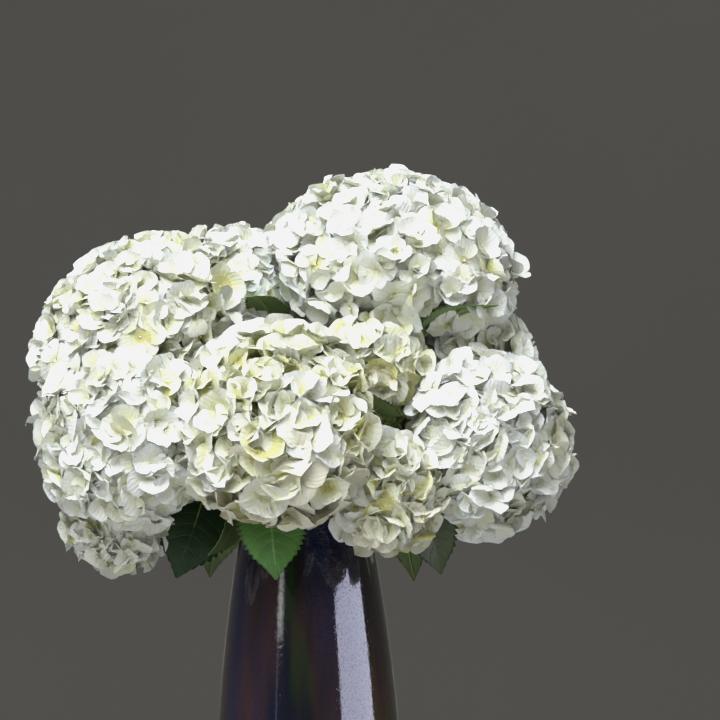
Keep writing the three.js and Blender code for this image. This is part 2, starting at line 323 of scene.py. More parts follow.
def grown(source: Object, tree: NodeTree, values: dict[str, object]) -> Object:
    """Runs a Geometry Nodes tree on an object and keeps the result as its plain mesh.

    Args:
        source: the object.
        tree: the Geometry Nodes tree.
        values: the value of each named input of the tree.

    Returns:
        The same object.
    """
    modifier = source.modifiers.new(tree.name, "NODES")
    modifier.node_group = tree
    for item in tree.interface.items_tree:
        if item.in_out == "INPUT" and item.name in values:
            modifier[item.identifier] = values[item.name]
    depsgraph = bpy.context.evaluated_depsgraph_get()
    mesh = bpy.data.meshes.new_from_object(source.evaluated_get(depsgraph))
    source.modifiers.clear()
    source.data = mesh
    mesh.name = source.name
    mesh.shade_smooth()
    return source


def tube_tree() -> NodeTree:
    """Makes the tree that turns edges with a thickness attribute into closed round limbs.

    Returns:
        The tree, whose inputs are the limbs' number of sides and their material.
    """
    inputs = {"Geometry": "Geometry", "Sides": "Int", "Finish": "Material"}
    group = NodeGroup("round_limbs", "Geometry", inputs, {"Geometry": "Geometry"})
    lines = group.add("GeometryNodeMeshToCurve", {"Mesh": group.given["Geometry"]})
    circle = {"Resolution": group.given["Sides"], "Radius": 1.0}
    limbs = {
        "Curve": lines.outputs[0],
        "Profile Curve": group.add("GeometryNodeCurvePrimitiveCircle", circle).outputs[0],
        "Scale": group.attribute("thickness", "FLOAT"),
        "Fill Caps": True,
    }
    tube = group.add("GeometryNodeCurveToMesh", limbs)
    real = group.add("GeometryNodeRealizeInstances", {"Geometry": tube.outputs[0]})
    dressed = {"Geometry": real.outputs[0], "Material": group.given["Finish"]}
    return group.close(Geometry=group.add("GeometryNodeSetMaterial", dressed).outputs[0])


def petal_tree(tints: list[Material]) -> NodeTree:
    """Makes the tree that sets a petal on each point and shares out the tints.

    Args:
        tints: the petals' materials, from the coolest white to the deepest, then the beige one, painted
            shade.

    Returns:
        The tree. Its points carry facing, size, kind and tint, and a petal's faces a zone.
    """
    inputs = {"Geometry": "Geometry", "Kinds": "Collection", "Size Variation": "Float", "Seed": "Int"}
    group = NodeGroup("petals_on_points", "Geometry", inputs, {"Geometry": "Geometry"})
    given = group.given
    kinds = group.add(
        "GeometryNodeCollectionInfo",
        {"Collection": given["Kinds"], "Separate Children": True, "Reset Children": True},
    )
    turned = group.add("FunctionNodeEulerToRotation", {0: group.attribute("facing", "FLOAT_VECTOR")})
    spread = given["Size Variation"]
    limits = {2: group.math("SUBTRACT", 1.0, spread), 3: group.math("ADD", 1.0, spread)}
    vary = group.add("FunctionNodeRandomValue", {**limits, "Seed": given["Seed"]}, data_type="FLOAT")
    placed = group.add(
        "GeometryNodeInstanceOnPoints",
        {
            "Points": given["Geometry"],
            "Instance": kinds.outputs[0],
            "Pick Instance": True,
            "Instance Index": group.attribute("kind", "INT"),
            "Rotation": turned.outputs[0],
            "Scale": group.math("MULTIPLY", group.attribute("size", "FLOAT"), vary.outputs[1]),
        },
    )
    shape = group.add("GeometryNodeRealizeInstances", {"Geometry": placed.outputs[0]}).outputs[0]
    tint = group.attribute("tint", "INT")
    deepest = group.math("MAXIMUM", tint, float(LIME))
    shade = group.math("MINIMUM", group.math("ADD", tint, group.attribute("zone", "INT")), deepest)
    for number, material in enumerate(tints):
        chosen = group.add(
            "FunctionNodeCompare",
            {"A": shade, "B": float(number), "Epsilon": 0.4},
            data_type="FLOAT",
            operation="EQUAL",
        )
        dressed = {"Geometry": shape, "Selection": chosen.outputs[0], "Material": material}
        shape = group.add("GeometryNodeSetMaterial", dressed).outputs[0]
    return group.close(Geometry=shape)


# Finishes


@cache
def mottle() -> NodeTree:
    """Builds the cloudy patches and fine flecks of a living surface.

    Returns:
        The shader group.
    """
    inputs = {"Vector": "Vector", "Patch Scale": "Float", "Fleck Scale": "Float"}
    group = NodeGroup("mottle", "Shader", inputs, {"Patches": "Float", "Height": "Float"})
    patches = group.noise(group.given["Vector"], group.given["Patch Scale"], 3.0)
    flecks = group.noise(group.given["Vector"], group.given["Fleck Scale"], 2.0)
    return group.close(Patches=group.remap(patches, (0.35, 0.65)), Height=flecks)


@cache
def petal_veins() -> NodeTree:
    """Builds a petal's veins, which fan out from its narrow base and double far from it.

    Returns:
        The shader group.
    """
    inputs = {"UV": "Vector", "Vector": "Vector", "Lines": "Float"}
    group = NodeGroup("petal_veins", "Shader", inputs, {"Veins": "Float", "Height": "Float"})
    lines = group.given["Lines"]
    parts = group.add("ShaderNodeSeparateXYZ", {0: group.given["UV"]}).outputs
    sway = group.noise(group.given["Vector"], 210.0, 1.0)
    off = group.math("MULTIPLY_ADD", sway, 0.14, parts[0])
    few = group.math("PINGPONG", group.math("MULTIPLY", off, lines), 0.5)
    doubled = group.math("MULTIPLY", off, group.math("MULTIPLY", lines, 2.0))
    many = group.math("PINGPONG", doubled, 0.5)
    far = group.remap(parts[1], (0.4, 0.9))
    height = group.math("MULTIPLY_ADD", group.math("MULTIPLY", many, far), 0.5, few)
    return group.close(Veins=group.remap(few, (0.02, 0.12), (1.0, 0.0)), Height=height)


@cache
def leaf_veins() -> NodeTree:
    """Builds a leaf's midrib, side veins and fine net, read from the blade's own UV map.

    Returns:
        The shader group.
    """
    inputs = {"UV": "Vector", "Pairs": "Float", "Sweep": "Float"}
    group = NodeGroup("leaf_veins", "Shader", inputs, {"Veins": "Float", "Height": "Float"})
    given = group.given
    parts = group.add("ShaderNodeSeparateXYZ", {0: given["UV"]}).outputs
    off = group.math("ABSOLUTE", group.math("SUBTRACT", parts[0], 0.5))
    across = group.math("MULTIPLY", off, 2.0)
    swept = group.math("MULTIPLY", group.math("POWER", across, VEIN_BEND), given["Sweep"])
    along = group.math("MULTIPLY", group.math("SUBTRACT", parts[1], swept), given["Pairs"])
    nearest = group.math("PINGPONG", along, 0.5)
    taper = group.math("MULTIPLY_ADD", across, -0.05, 0.085)
    soft = {"interpolation_type": "SMOOTHSTEP"}
    side = group.remap(nearest, (0.0, taper), (1.0, 0.0), **soft)
    middle = group.remap(across, (0.01, 0.055), (1.0, 0.0), **soft)
    net = group.cells(given["UV"], 26.0, feature="DISTANCE_TO_EDGE")
    fine = group.remap(net, (0.0, 0.09), (0.3, 0.0))
    veins = group.math("MAXIMUM", group.math("MAXIMUM", side, middle), fine)
    return group.close(Veins=veins, Height=group.math("SUBTRACT", 1.0, veins))


class Finish(NodeSheet):
    """A material whose colour, roughness and relief come from its own nodes."""

    def __init__(self, name: str) -> None:
        """Starts the material with a plain shader, and keeps its coordinates at hand."""
        self.material = bpy.data.materials.new(name)
        self.material.use_nodes = True
        super().__init__(self.material.node_tree)
        self.tree.nodes.clear()
        self.shader = self.add("ShaderNodeBsdfPrincipled")
        self.add("ShaderNodeOutputMaterial", {"Surface": self.shader.outputs[0]})
        coordinates = self.add("ShaderNodeTexCoord").outputs
        self.place, self.uv = coordinates["Object"], coordinates["UV"]

    def set(self, **values: object) -> None:
        """Sets or links the shader's inputs."""
        self.fill(self.shader, values)

    def group(self, tree: NodeTree, **values: object) -> list[NodeSocket]:
        """Returns the outputs of a shader group, with its inputs set."""
        return list(self.add("ShaderNodeGroup", values, node_tree=tree).outputs)

    def bump(self, height: NodeSocket, strength: float, distance: float) -> None:
        """Gives the shader a relief from a height."""
        relief = {"Height": height, "Strength": strength, "Distance": distance}
        self.set(Normal=self.add("ShaderNodeBump", relief).outputs[0])


@dataclass(frozen=True)
class PetalFinish:
    """The soft, matt skin of a petal in one tint."""

    name: str
    colour: Triple
    shaded: Triple
    speck: Triple = (0.36, 0.25, 0.11)
    vein_tone: float = 0.94
    roughness: Pair = (0.44, 0.6)
    glow: Triple = (1.0, 0.95, 0.6)

    def build(self) -> Material:
        """Makes the material, with faint patches, fan-like veins, rare specks and a crinkle.

        Returns:
            The material.
        """
        finish = Finish(self.name)
        place = finish.place
        patches, flecks = finish.group(mottle(), Vector=place, Patch_Scale=70.0, Fleck_Scale=330.0)
        veins, crinkle = finish.group(petal_veins(), UV=finish.uv, Vector=place, Lines=7.0)
        skin = finish.mix(patches, self.colour, self.shaded)
        deeper = tuple(self.vein_tone * c for c in self.shaded)
        veined = finish.mix(finish.math("MULTIPLY", veins, 0.5), skin, deeper)
        speck = finish.remap(finish.cells(place, 50.0), (0.03, 0.05), (0.8, 0.0))
        finish.set(
            Base_Color=finish.mix(speck, veined, self.speck),
            Roughness=finish.remap(flecks, target=self.roughness),
            Specular_IOR_Level=0.35,
            Sheen_Weight=0.1,
            Subsurface_Weight=0.15,
            Subsurface_Radius=self.glow,
            Subsurface_Scale=2 * MM,
        )
        finish.shader.subsurface_method = "BURLEY"
        finish.bump(finish.math("MULTIPLY_ADD", flecks, 1.1, crinkle), 0.5, 0.9 * MM)
        return finish.material


@dataclass(frozen=True)
class SkinFinish:
    """The satin green skin of a stem, ray or leaf stalk."""

    name: str
    colour: Triple
    streak: Triple
    fleck: Triple
    roughness: Pair = (0.42, 0.6)

    def build(self) -> Material:
        """Makes the material, with long streaks and small raised corky flecks.

        Returns:
            The material.
        """
        finish = Finish(self.name)
        drawn = finish.mapped(finish.place, Scale=(1.0, 1.0, 0.16))
        streaks, grain = finish.group(mottle(), Vector=drawn, Patch_Scale=160.0, Fleck_Scale=700.0)
        slim = finish.mapped(finish.place, Scale=(1.0, 1.0, 0.45))
        spots = finish.remap(finish.cells(slim, 240.0), (0.12, 0.26), (1.0, 0.0))
        base = finish.mix(streaks, self.colour, self.streak)
        finish.set(
            Base_Color=finish.mix(finish.math("MULTIPLY", spots, 0.6), base, self.fleck),
            Roughness=finish.remap(grain, target=self.roughness),
        )
        finish.bump(finish.math("MULTIPLY_ADD", spots, 0.6, grain), 0.5, 0.5 * MM)
        return finish.material


@dataclass(frozen=True)
class LeafFinish:
    """One face of a leaf: its green, its paler veins and its shine."""

    name: str
    colour: Triple
    patch: Triple
    vein: Triple
    vein_strength: float
    roughness: Pair
    relief: float

    def build(self) -> Material:
        """Makes the material, with veins that follow the blade and patches that don't.

        Returns:
            The material.
        """
        finish = Finish(self.name)
        veins, ridges = finish.group(leaf_veins(), UV=finish.uv, Pairs=VEIN_PAIRS, Sweep=VEIN_SWEEP)
        patches, grain = finish.group(mottle(), Vector=finish.place, Patch_Scale=38.0, Fleck_Scale=520.0)
        base = finish.mix(patches, self.colour, self.patch)
        finish.set(
            Base_Color=finish.mix(finish.math("MULTIPLY", veins, self.vein_strength), base, self.vein),
            Roughness=finish.remap(grain, target=self.roughness),
            Specular_IOR_Level=0.45,
        )
        finish.bump(finish.math("MULTIPLY_ADD", grain, 0.25, ridges), self.relief, 0.7 * MM)
        return finish.material


@dataclass(frozen=True)
class GlazeFinish:
    """A mirror-like near-black glaze with brown, olive and blue clouds, bare at the foot."""

    name: str
    black: Triple
    brown: Triple
    olive: Triple
    blue: Triple
    clay: Triple
    foot: Pair

    def build(self) -> Material:
        """Makes the material, its clouds drawn out downwards and its clear coat finely flecked.

        Returns:
            The material.
        """
        finish = Finish(self.name)
        place = finish.place
        run = finish.mapped(place, Scale=(1.0, 1.0, 0.12))
        warm = finish.noise(run, 26.0, 3.0)
        cool = finish.noise(finish.mapped(run, Location=(0.7, 0.3, 0.2)), 19.0, 3.0)
        cloud = (0.42, 0.66)
        tone = finish.mix(finish.remap(warm, cloud), self.black, self.brown)
        tone = finish.mix(finish.remap(cool, (0.45, 0.3)), tone, self.olive)
        tone = finish.mix(finish.remap(cool, cloud), tone, self.blue)
        peel = finish.noise(place, 230.0, 2.0)
        pits = finish.remap(finish.cells(place, 330.0), (0.05, 0.3))
        height = finish.add("ShaderNodeSeparateXYZ", {0: place}).outputs[2]
        ragged = finish.math("MULTIPLY_ADD", warm, 1.6 * MM, height)
        bare = finish.remap(ragged, self.foot, (1.0, 0.0))
        clear = finish.remap(finish.noise(place, 540.0, 4.0), (0.48, 0.64), (1.0, 0.5))
        finish.set(
            Base_Color=finish.mix(bare, tone, self.clay),
            Roughness=finish.math("MULTIPLY_ADD", bare, 0.6, finish.remap(peel, target=(0.04, 0.13))),
            IOR=1.5,
            Coat_Weight=finish.math("MULTIPLY", finish.math("SUBTRACT", 1.0, bare), clear),
            Coat_Roughness=0.04,
            Coat_IOR=1.45,
        )
        finish.bump(finish.math("MULTIPLY_ADD", pits, 0.5, peel), 0.26, 0.4 * MM)
        return finish.material


@dataclass(frozen=True)
class StageFinish:
    """The plain painted surface of the floor or the wall round it, very slightly uneven."""

    name: str
    colour: Triple
    uneven: float = 0.96

    def build(self) -> Material:
        """Makes the material.

        Returns:
            The material.
        """
        finish = Finish(self.name)
        patches, _ = finish.group(mottle(), Vector=finish.place, Patch_Scale=0.8, Fleck_Scale=30.0)
        darker = tuple(self.uneven * c for c in self.colour)
        colour = finish.mix(patches, self.colour, darker)
        finish.set(Base_Color=colour, Roughness=0.9, Specular_IOR_Level=0.0)
        return finish.material


class LeafTone(Enum):
    """How a leaf's upper face is coloured: its green, patches, veins and their strength, and shine."""

    # painted shade: the near-black green of leaves deep in the bunch's shadow
    DARK = ((0.009, 0.029, 0.01), (0.018, 0.05, 0.015), (0.04, 0.09, 0.033), 0.55, (0.34, 0.5), 0.6)
    BRIGHT = ((0.055, 0.18, 0.025), (0.09, 0.25, 0.035), (0.25, 0.42, 0.13), 0.6, (0.34, 0.5), 0.6)
    # painted light: the olive of a leaf lit through from behind
    OLIVE = ((0.05, 0.08, 0.018), (0.085, 0.115, 0.028), (0.16, 0.2, 0.07), 0.6, (0.4, 0.56), 0.6)


class Finishes:
    """Every material of the bunch and its studio."""

    def __init__(self) -> None:
        """Builds the materials."""
        self.tints = [
            PetalFinish(*tint).build()
            for tint in (
                ("petal_cool_white", (0.87, 0.90, 0.915), (0.845, 0.875, 0.885)),
                ("petal_white", (0.885, 0.905, 0.875), (0.86, 0.88, 0.84)),
                ("petal_ivory", (0.885, 0.90, 0.83), (0.86, 0.875, 0.79)),
                ("petal_pale_cream", (0.875, 0.885, 0.77), (0.85, 0.86, 0.72)),
                ("petal_cream", (0.85, 0.86, 0.70), (0.82, 0.83, 0.64)),
                # pale lime and lime go to petal bases and inner florets: partly their own green, partly
                # painted crevice shade
                ("petal_pale_lime", (0.80, 0.805, 0.56), (0.76, 0.765, 0.49)),
                ("petal_lime", (0.70, 0.69, 0.34), (0.63, 0.60, 0.26)),
                # painted shade on the undersides of down-facing florets
                ("petal_beige", (0.86, 0.835, 0.71), (0.83, 0.80, 0.66)),
            )
        ]
        self.stem, self.ray, self.rib = (
            SkinFinish(*skin).build()
            for skin in (
                ("stem_skin", (0.16, 0.25, 0.06), (0.26, 0.33, 0.10), (0.32, 0.24, 0.12)),
                ("ray_skin", (0.42, 0.52, 0.20), (0.52, 0.58, 0.28), (0.5, 0.46, 0.26)),
                ("rib_skin", (0.24, 0.36, 0.09), (0.33, 0.42, 0.14), (0.34, 0.26, 0.12)),
            )
        )
        # one upper-face material for each leaf tone, two of them with painted shade or painted backlight
        self.leaf_top = {
            tone: LeafFinish(f"leaf_{tone.name.lower()}", *tone.value).build()
            for tone in LeafTone
        }
        self.leaf_under = LeafFinish(
            "leaf_underside", (0.16, 0.24, 0.08), (0.2, 0.28, 0.1), (0.32, 0.4, 0.17), 0.75,
            (0.55, 0.71), 0.8,
        ).build()
        self.glaze = GlazeFinish(
            "vase_glaze_clouded",
            black=(0.006, 0.006, 0.008),
            brown=(0.055, 0.024, 0.014),
            olive=(0.02, 0.05, 0.02),
            blue=(0.008, 0.014, 0.052),
            clay=(0.20, 0.12, 0.08),
            foot=(1.2 * MM, 1.6 * MM),
        ).build()
        self.floor = StageFinish("studio_floor", (0.41, 0.405, 0.395)).build()
        self.wall = StageFinish("studio_wall", (0.24, 0.235, 0.235)).build()


# The vase


def finish_piece(piece: Object, slot: str, *nodes: str) -> None:
    """Hands a finished piece to the frame.

    Args:
        piece: the piece, in its place.
        slot: a material slot's name; not used.
        *nodes: the CAD nodes that it stands for.
    """
    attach(piece, "root")
    if nodes:
        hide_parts(*nodes)
    log.info("%s: %d triangles", piece.name, sum(len(p.vertices) - 2 for p in piece.data.polygons))


@dataclass
class Vase:
    """The turned vase: a narrow neck, a long shoulder and a belly low down.

    Its foot's rings are chamfers out from the foot's edge and up. Its lip's inner rings are out from
    the inner edge and down, and its corner's are out from the wall's face and up from the floor.
    """

    height: float = 380 * MM
    belly_radius: float = 72.7 * MM
    belly_height: float = 115 * MM
    neck_radius: float = 49 * MM
    foot_radius: float = 58 * MM
    foot_chamfer: float = 2.5 * MM
    foot_rings: tuple[Pair, ...] = ((-2.2, 0.0), (-1.0, 0.0), (-0.3, 0.3))
    lip_height: float = 6 * MM
    lip_radius: float = 51.5 * MM
    lip_degrees: Pair = (-62.0, 90.0)
    lip_steps: int = 10
    lip_inner: tuple[Pair, ...] = ((0.8 * MM, 0.1 * MM), (0.0, 1.0 * MM))
    wall: float = 6 * MM
    floor: float = 10 * MM
    corner_height: float = 6 * MM
    corner: tuple[Pair, ...] = ((-2 * MM, 1.6 * MM), (-7 * MM, 0.0))
    steps: int = 44
    inner_steps: int = 16
    sides: int = 144

    @property
    def neck_top(self) -> float:
        """The height where the wall ends and the lip starts."""
        return self.height - self.lip_height

    def radius_at(self, z: float) -> float:
        """Works out the outside radius at a height, on one of two parabolas.

        Args:
            z: the height.

        Returns:
            The radius.
        """
        above = z > self.belly_height
        reach = self.neck_top - self.belly_height if above else self.belly_height
        narrowing = self.belly_radius - (self.neck_radius if above else self.foot_radius)
        return self.belly_radius - narrowing * ((z - self.belly_height) / reach) ** 2

    def wall_points(self, bottom: float, steps: int, inset: float) -> list[Pair]:
        """Returns the profile of one face of the wall, upwards."""
        heights = np.linspace(bottom, self.neck_top, steps + 1)
        return [(self.radius_at(z) - inset, float(z)) for z in heights]

    def profile(self) -> list[Pair]:
        """Lists the rings of the whole vase, from the underside's middle to the floor's.

        Returns:
            The radius and height of each.
        """
        chamfer = self.foot_chamfer
        foot = [(self.foot_radius + out * chamfer, up * chamfer) for out, up in self.foot_rings]
        bead = 0.5 * self.lip_height
        low, high = self.lip_degrees
        angles = [math.radians(low + (high - low) * k / self.lip_steps) for k in range(self.lip_steps + 1)]
        lip = [
            (self.lip_radius - bead + bead * math.cos(a), self.height - bead + bead * math.sin(a))
            for a in angles
        ]
        edge = self.lip_radius - self.wall
        lip += [(edge + out, self.height - down) for out, down in self.lip_inner]
        inside = self.wall_points(self.floor + self.corner_height, self.inner_steps, self.wall)[::-1]
        face = self.radius_at(self.floor) - self.wall
        base = [(face + out, self.floor + up) for out, up in self.corner]
        outside = self.wall_points(chamfer, self.steps, 0.0)
        return [(0.0, 0.0), *foot, *outside, *lip, *inside, *base, (0.0, self.floor)]

    def build(self, glaze: Material) -> None:
        """Turns the profile round its axis, with both poles closed, and dresses it.

        Args:
            glaze: its material.
        """
        (_, low), *rings, (_, high) = self.profile()
        points = np.vstack([[(0.0, 0.0, low)], turned_rings(rings, self.sides), [(0.0, 0.0, high)]])
        faces = grid_faces(len(rings), self.sides, first=1, around=True)
        last = len(points) - 1
        for k in range(self.sides):
            after = (k + 1) % self.sides
            faces.append((0, 1 + after, 1 + k))
            faces.append((last, last - self.sides + k, last - self.sides + after))
        made = new_object("glazed_vase", mesh_of("glazed_vase", points, faces))
        made.data.materials.append(glaze)
        finish_piece(made, "vase_glaze", "vase")


# The flower heads' places and the stems' lines


class Ring(Enum):
    """A ring of stems in the vase's mouth: its radius and the angle where it starts."""

    OUTER = (31 * MM, 12.0)
    INNER = (13 * MM, 10.0)


class Tone(Enum):
    """How a head's petals are shared out over the tints, from cool white to green."""

    COOL = (0.58, 0.32, 0.09, 0.01, 0.0)
    WHITE = (0.28, 0.46, 0.20, 0.05, 0.01)
    CREAM = (0.08, 0.34, 0.36, 0.18, 0.04)


@dataclass(frozen=True)
class Head:
    """One flower head: where its dome is and faces, in millimetres, and its petals' tone.

    Its florets sit sunk_mm further in than others, and its petals rise by the opening: a mean and a
    spread in degrees. A cleft is a fold across it: a height, and how far it sinks as a share.
    """

    name: str
    ring: Ring
    bend_mm: float
    at_mm: Triple
    faces: Triple
    radius_mm: float
    rise_mm: float
    tone: Tone
    petal_mm: float = PETAL_MM
    sunk_mm: float = 0.0
    opening: Pair = (30.0, 15.0)
    clefts_mm: tuple[Pair, ...] = ()

    @property
    def centre(self) -> np.ndarray:
        """The dome's centre."""
        return np.array(self.at_mm) * MM

    @property
    def axis(self) -> np.ndarray:
        """The way that the dome faces."""
        return unit(np.array(self.faces))

    @property
    def radius(self) -> float:
        """The dome's radius across its axis."""
        return self.radius_mm * MM

    @property
    def rise(self) -> float:
        """How high the dome rises above its centre."""
        return self.rise_mm * MM

    @property
    def drop(self) -> float:
        """How deep the dome goes below its centre."""
        return DROP_SHARE * self.radius

    def depth(self, points: np.ndarray) -> np.ndarray:
        """Measures points against the dome.

        Args:
            points: the points.

        Returns:
            1 for a point on its surface, less inside it and more outside.
        """
        offset = points - self.centre
        height = offset @ self.axis
        across = np.sqrt(np.maximum(0.0, (offset**2).sum(-1) - height**2))
        return np.hypot(across / self.radius, height / np.where(height > 0, self.rise, self.drop))

    def full(self, directions: np.ndarray) -> np.ndarray:
        """Returns how far the whole dome reaches in each direction."""
        return 1 / self.depth(self.centre + directions)

    def outward(self, directions: np.ndarray) -> np.ndarray:
        """Finds the way that the dome's surface faces.

        Args:
            directions: unit vectors from its centre.

        Returns:
            A unit vector for each.
        """
        height = directions @ self.axis
        across = directions - height[:, None] * self.axis
        steep = np.where(height > 0, self.rise, self.drop) ** 2
        return unit(across / self.radius**2 + (height / steep)[:, None] * self.axis)


HEADS = [
    Head("crown_right", Ring.INNER, 60, (72, -8, 568), (0.22, -0.36, 0.9), 106, 81, Tone.COOL, sunk_mm=3),
    Head("crown_back", Ring.INNER, 60, (4, 94, 544), (0, 0.62, 0.78), 90, 68, Tone.WHITE),
    Head("crown_left", Ring.INNER, 60, (-56, 22, 552), (-0.3, -0.2, 0.93), 67, 62, Tone.COOL),
    Head("heart", Ring.INNER, 50, (57, -64, 492), (0.1, -0.95, 0.3), 45, 38, Tone.CREAM),
    Head("shoulder_right", Ring.OUTER, 45, (121, 12, 503), (0.62, -0.25, 0.6), 70, 56, Tone.COOL),
    Head("back_right", Ring.OUTER, 40, (116, 84, 448), (0.74, 0.62, 0.25), 86, 64, Tone.WHITE),
    Head("back_low", Ring.OUTER, 36, (4, 126, 430), (0, 0.97, 0.1), 82, 60, Tone.CREAM),
    Head("back_left", Ring.OUTER, 40, (-112, 78, 462), (-0.74, 0.62, 0.25), 86, 64, Tone.COOL),
    Head("shoulder_left", Ring.OUTER, 50, (-126, -22, 521), (-0.5, -0.45, 0.72), 91, 70, Tone.WHITE),
    Head(
        "side_left_low", Ring.OUTER, 42, (-144, -34, 378), (-0.55, -0.62, -0.5), 50, 42, Tone.COOL,
        sunk_mm=5,
    ),
    Head("side_left", Ring.OUTER, 38, (-130, -66, 439), (-0.42, -0.88, 0.12), 82, 64, Tone.COOL),
    Head(
        "front", Ring.OUTER, 34, (-17, -108, 439), (-0.05, -0.95, 0.28), 82, 70, Tone.CREAM, 20,
        opening=(44.0, 16.0), clefts_mm=((474, 0.13),),
    ),
    Head(
        "front_low", Ring.OUTER, 26, (64, -88, 392), (0.25, -0.9, -0.2), 54, 46, Tone.CREAM, 19, 6,
        (40.0, 16.0),
    ),
    Head("side_right", Ring.OUTER, 36, (136, -52, 430), (0.5, -0.84, 0.1), 79, 64, Tone.COOL, sunk_mm=4),
]


@dataclass(frozen=True)
class Gap:
    """A deep opening between heads: a straight line that no floret comes near, in millimetres."""

    front_mm: Triple
    back_mm: Triple
    radius_mm: float

    def clear(self, points: np.ndarray) -> np.ndarray:
        """Tells which points are far enough from the line.

        Args:
            points: the points.

        Returns:
            Whether each one is clear of it.
        """
        front, back = np.array(self.front_mm), np.array(self.back_mm)
        offset = points / MM - front
        along = back - front
        share = np.clip(offset @ along / (along @ along), 0, 1)
        return np.linalg.norm(offset - share[:, None] * along, axis=1) > self.radius_mm


GAPS = [
    Gap((68, -150, 438), (62, -50, 446), 27),
    Gap((90, -82, 510), (150, -94, 528), 21),
    Gap((-32, -90, 533), (-26, -50, 533), 11),
]


@dataclass
class Bunch:
    """How the heads share their space, and the lines that their stems follow.

    It also holds what its pieces are made with: the materials, and the tree that makes lines round.
    """

    heads: list[Head]
    vase: Vase
    finishes: Finishes
    tubes: NodeTree
    twist: float = 50.0
    foot_radius: float = 4.4 * MM
    tip_radius: float = 3.5 * MM
    stalk_length: float = 14 * MM
    end_bend: float = 0.8
    probes: int = 24
    halvings: int = 8

    def reach(self, head: Head, directions: np.ndarray) -> np.ndarray:
        """Finds how far a head reaches before its own surface or a neighbour's stops it.

        Args:
            head: the head.
            directions: unit vectors from its centre.

        Returns:
            The distance in each direction.
        """
        full = head.full(directions)
        others = [other for other in self.heads if other is not head]

        def free_at(distance: np.ndarray) -> np.ndarray:
            """Tells which points are the head's own.

            Args:
                distance: how far out each point is.

            Returns:
                Whether no neighbour holds it.
            """
            points = head.centre + directions * distance[:, None]
            nearest = np.min([other.depth(points) for other in others], axis=0)
            return distance / full <= nearest - BORDER

        clear = np.zeros(len(directions))
        going = np.ones(len(directions), bool)
        for step in range(1, self.probes + 1):
            going &= free_at(full * step / self.probes)
            clear = np.where(going, full * step / self.probes, clear)
        blocked = np.where(going, full, clear + full / self.probes)
        for _ in range(self.halvings):
            middle = (clear + blocked) / 2
            free = free_at(middle)
            clear = np.where(free & ~going, middle, clear)
            blocked = np.where(free | going, blocked, middle)
        return clear

    def neck(self, head: Head) -> np.ndarray:
        """Returns the point where a head's stem ends and its own stalk starts."""
        return head.centre - head.axis * (head.drop + self.stalk_length)

    def controls(self, head: Head) -> tuple[np.ndarray, list[np.ndarray]]:
        """Works out a stem's line: straight in the vase, then a curve to its head.

        Args:
            head: the stem's head.

        Returns:
            The stem's foot, and the curve's control points from the vase's mouth.
        """
        mates = [other for other in self.heads if other.ring is head.ring]
        radius, start = head.ring.value
        turn = math.radians(start + 360 / len(mates) * mates.index(head))
        twist = math.radians(self.twist)
        lean = 2 * radius * math.sin(twist / 2) / (self.vase.height - self.vase.floor)

        def on_ring(angle: float, z: float) -> np.ndarray:
            """Returns the ring's point at an angle and height."""
            return np.array([radius * math.cos(angle), radius * math.sin(angle), z])

        foot = on_ring(turn - twist, self.vase.floor + CLEARANCE + self.foot_radius * lean)
        mouth = on_ring(turn, self.vase.height)
        bend = head.bend_mm * MM
        end = self.neck(head) - head.axis * CLEARANCE
        middle = [mouth + unit(mouth - foot) * bend, end - head.axis * bend * self.end_bend]
        return foot, [mouth, *middle, end]


class TubeMaker:
    """Gathers lines with a thickness and turns them into one piece of round limbs."""

    def __init__(self, tree: NodeTree) -> None:
        """Takes the tree that makes the limbs round."""
        self.tree = tree
        self.points: list[np.ndarray] = []
        self.radii: list[np.ndarray] = []
        self.edges: list[tuple[int, int]] = []
        self.count = 0

    def line(self, points: np.ndarray, radii: np.ndarray) -> None:
        """Adds one line.

        Args:
            points: its points.
            radii: the limb's radius at each.
        """
        self.points.append(points)
        self.radii.append(radii)
        self.edges += [(self.count + i, self.count + i + 1) for i in range(len(points) - 1)]
        self.count += len(points)

    def curve(self, controls: list[np.ndarray], steps: int, radii: Pair) -> None:
        """Adds a tapering Bezier curve: its control points, number of points and end radii."""
        self.line(bezier(controls, np.linspace(0, 1, steps)), np.linspace(*radii, steps))

    def build(self, name: str, sides: int, finish: Material) -> Object:
        """Makes the piece.

        Args:
            name: the piece's name.
            sides: how many sides each limb has.
            finish: its material.

        Returns:
            The piece, as a plain mesh.
        """
        mesh = bpy.data.meshes.new(name)
        mesh.from_pydata(np.vstack(self.points).tolist(), self.edges, [])
        add_attributes(mesh, "POINT", thickness=("FLOAT", np.concatenate(self.radii)))
        return grown(new_object(name, mesh), self.tree, {"Sides": sides, "Finish": finish})


@dataclass
class Stem:
    """A cut stem, from the vase's floor to its head, a little swollen at its leaf joints."""

    head: Head
    bunch: Bunch
    sides: int = 14
    inside_steps: int = 12
    steps: int = 34
    taper: float = 1.6
    joint_spacing: float = 78 * MM
    joint_width: float = 0.07
    swelling: float = 0.16

    def build(self) -> None:
        """Makes the stem and dresses it."""
        foot, controls = self.bunch.controls(self.head)
        rise = np.linspace(0, 1, self.inside_steps, endpoint=False)[:, None]
        curve = bezier(controls, np.linspace(0, 1, self.steps))
        points = np.vstack([foot + (controls[0] - foot) * rise, curve])
        length = np.cumsum(np.linalg.norm(np.diff(points, axis=0, prepend=points[:1]), axis=1))
        share = length / length[-1]
        first, last = self.bunch.foot_radius, self.bunch.tip_radius
        radii = first + (last - first) * share**self.taper
        off = (length % self.joint_spacing) / self.joint_spacing - 0.5
        radii = radii * (1 + self.swelling * np.exp(-((off / self.joint_width) ** 2)))
        tubes = TubeMaker(self.bunch.tubes)
        tubes.line(points, radii)
        made = tubes.build(f"stalk_{self.head.name}", self.sides, self.bunch.finishes.stem)
        finish_piece(made, "green_stem", f"stem_{self.head.name}")


# The petals


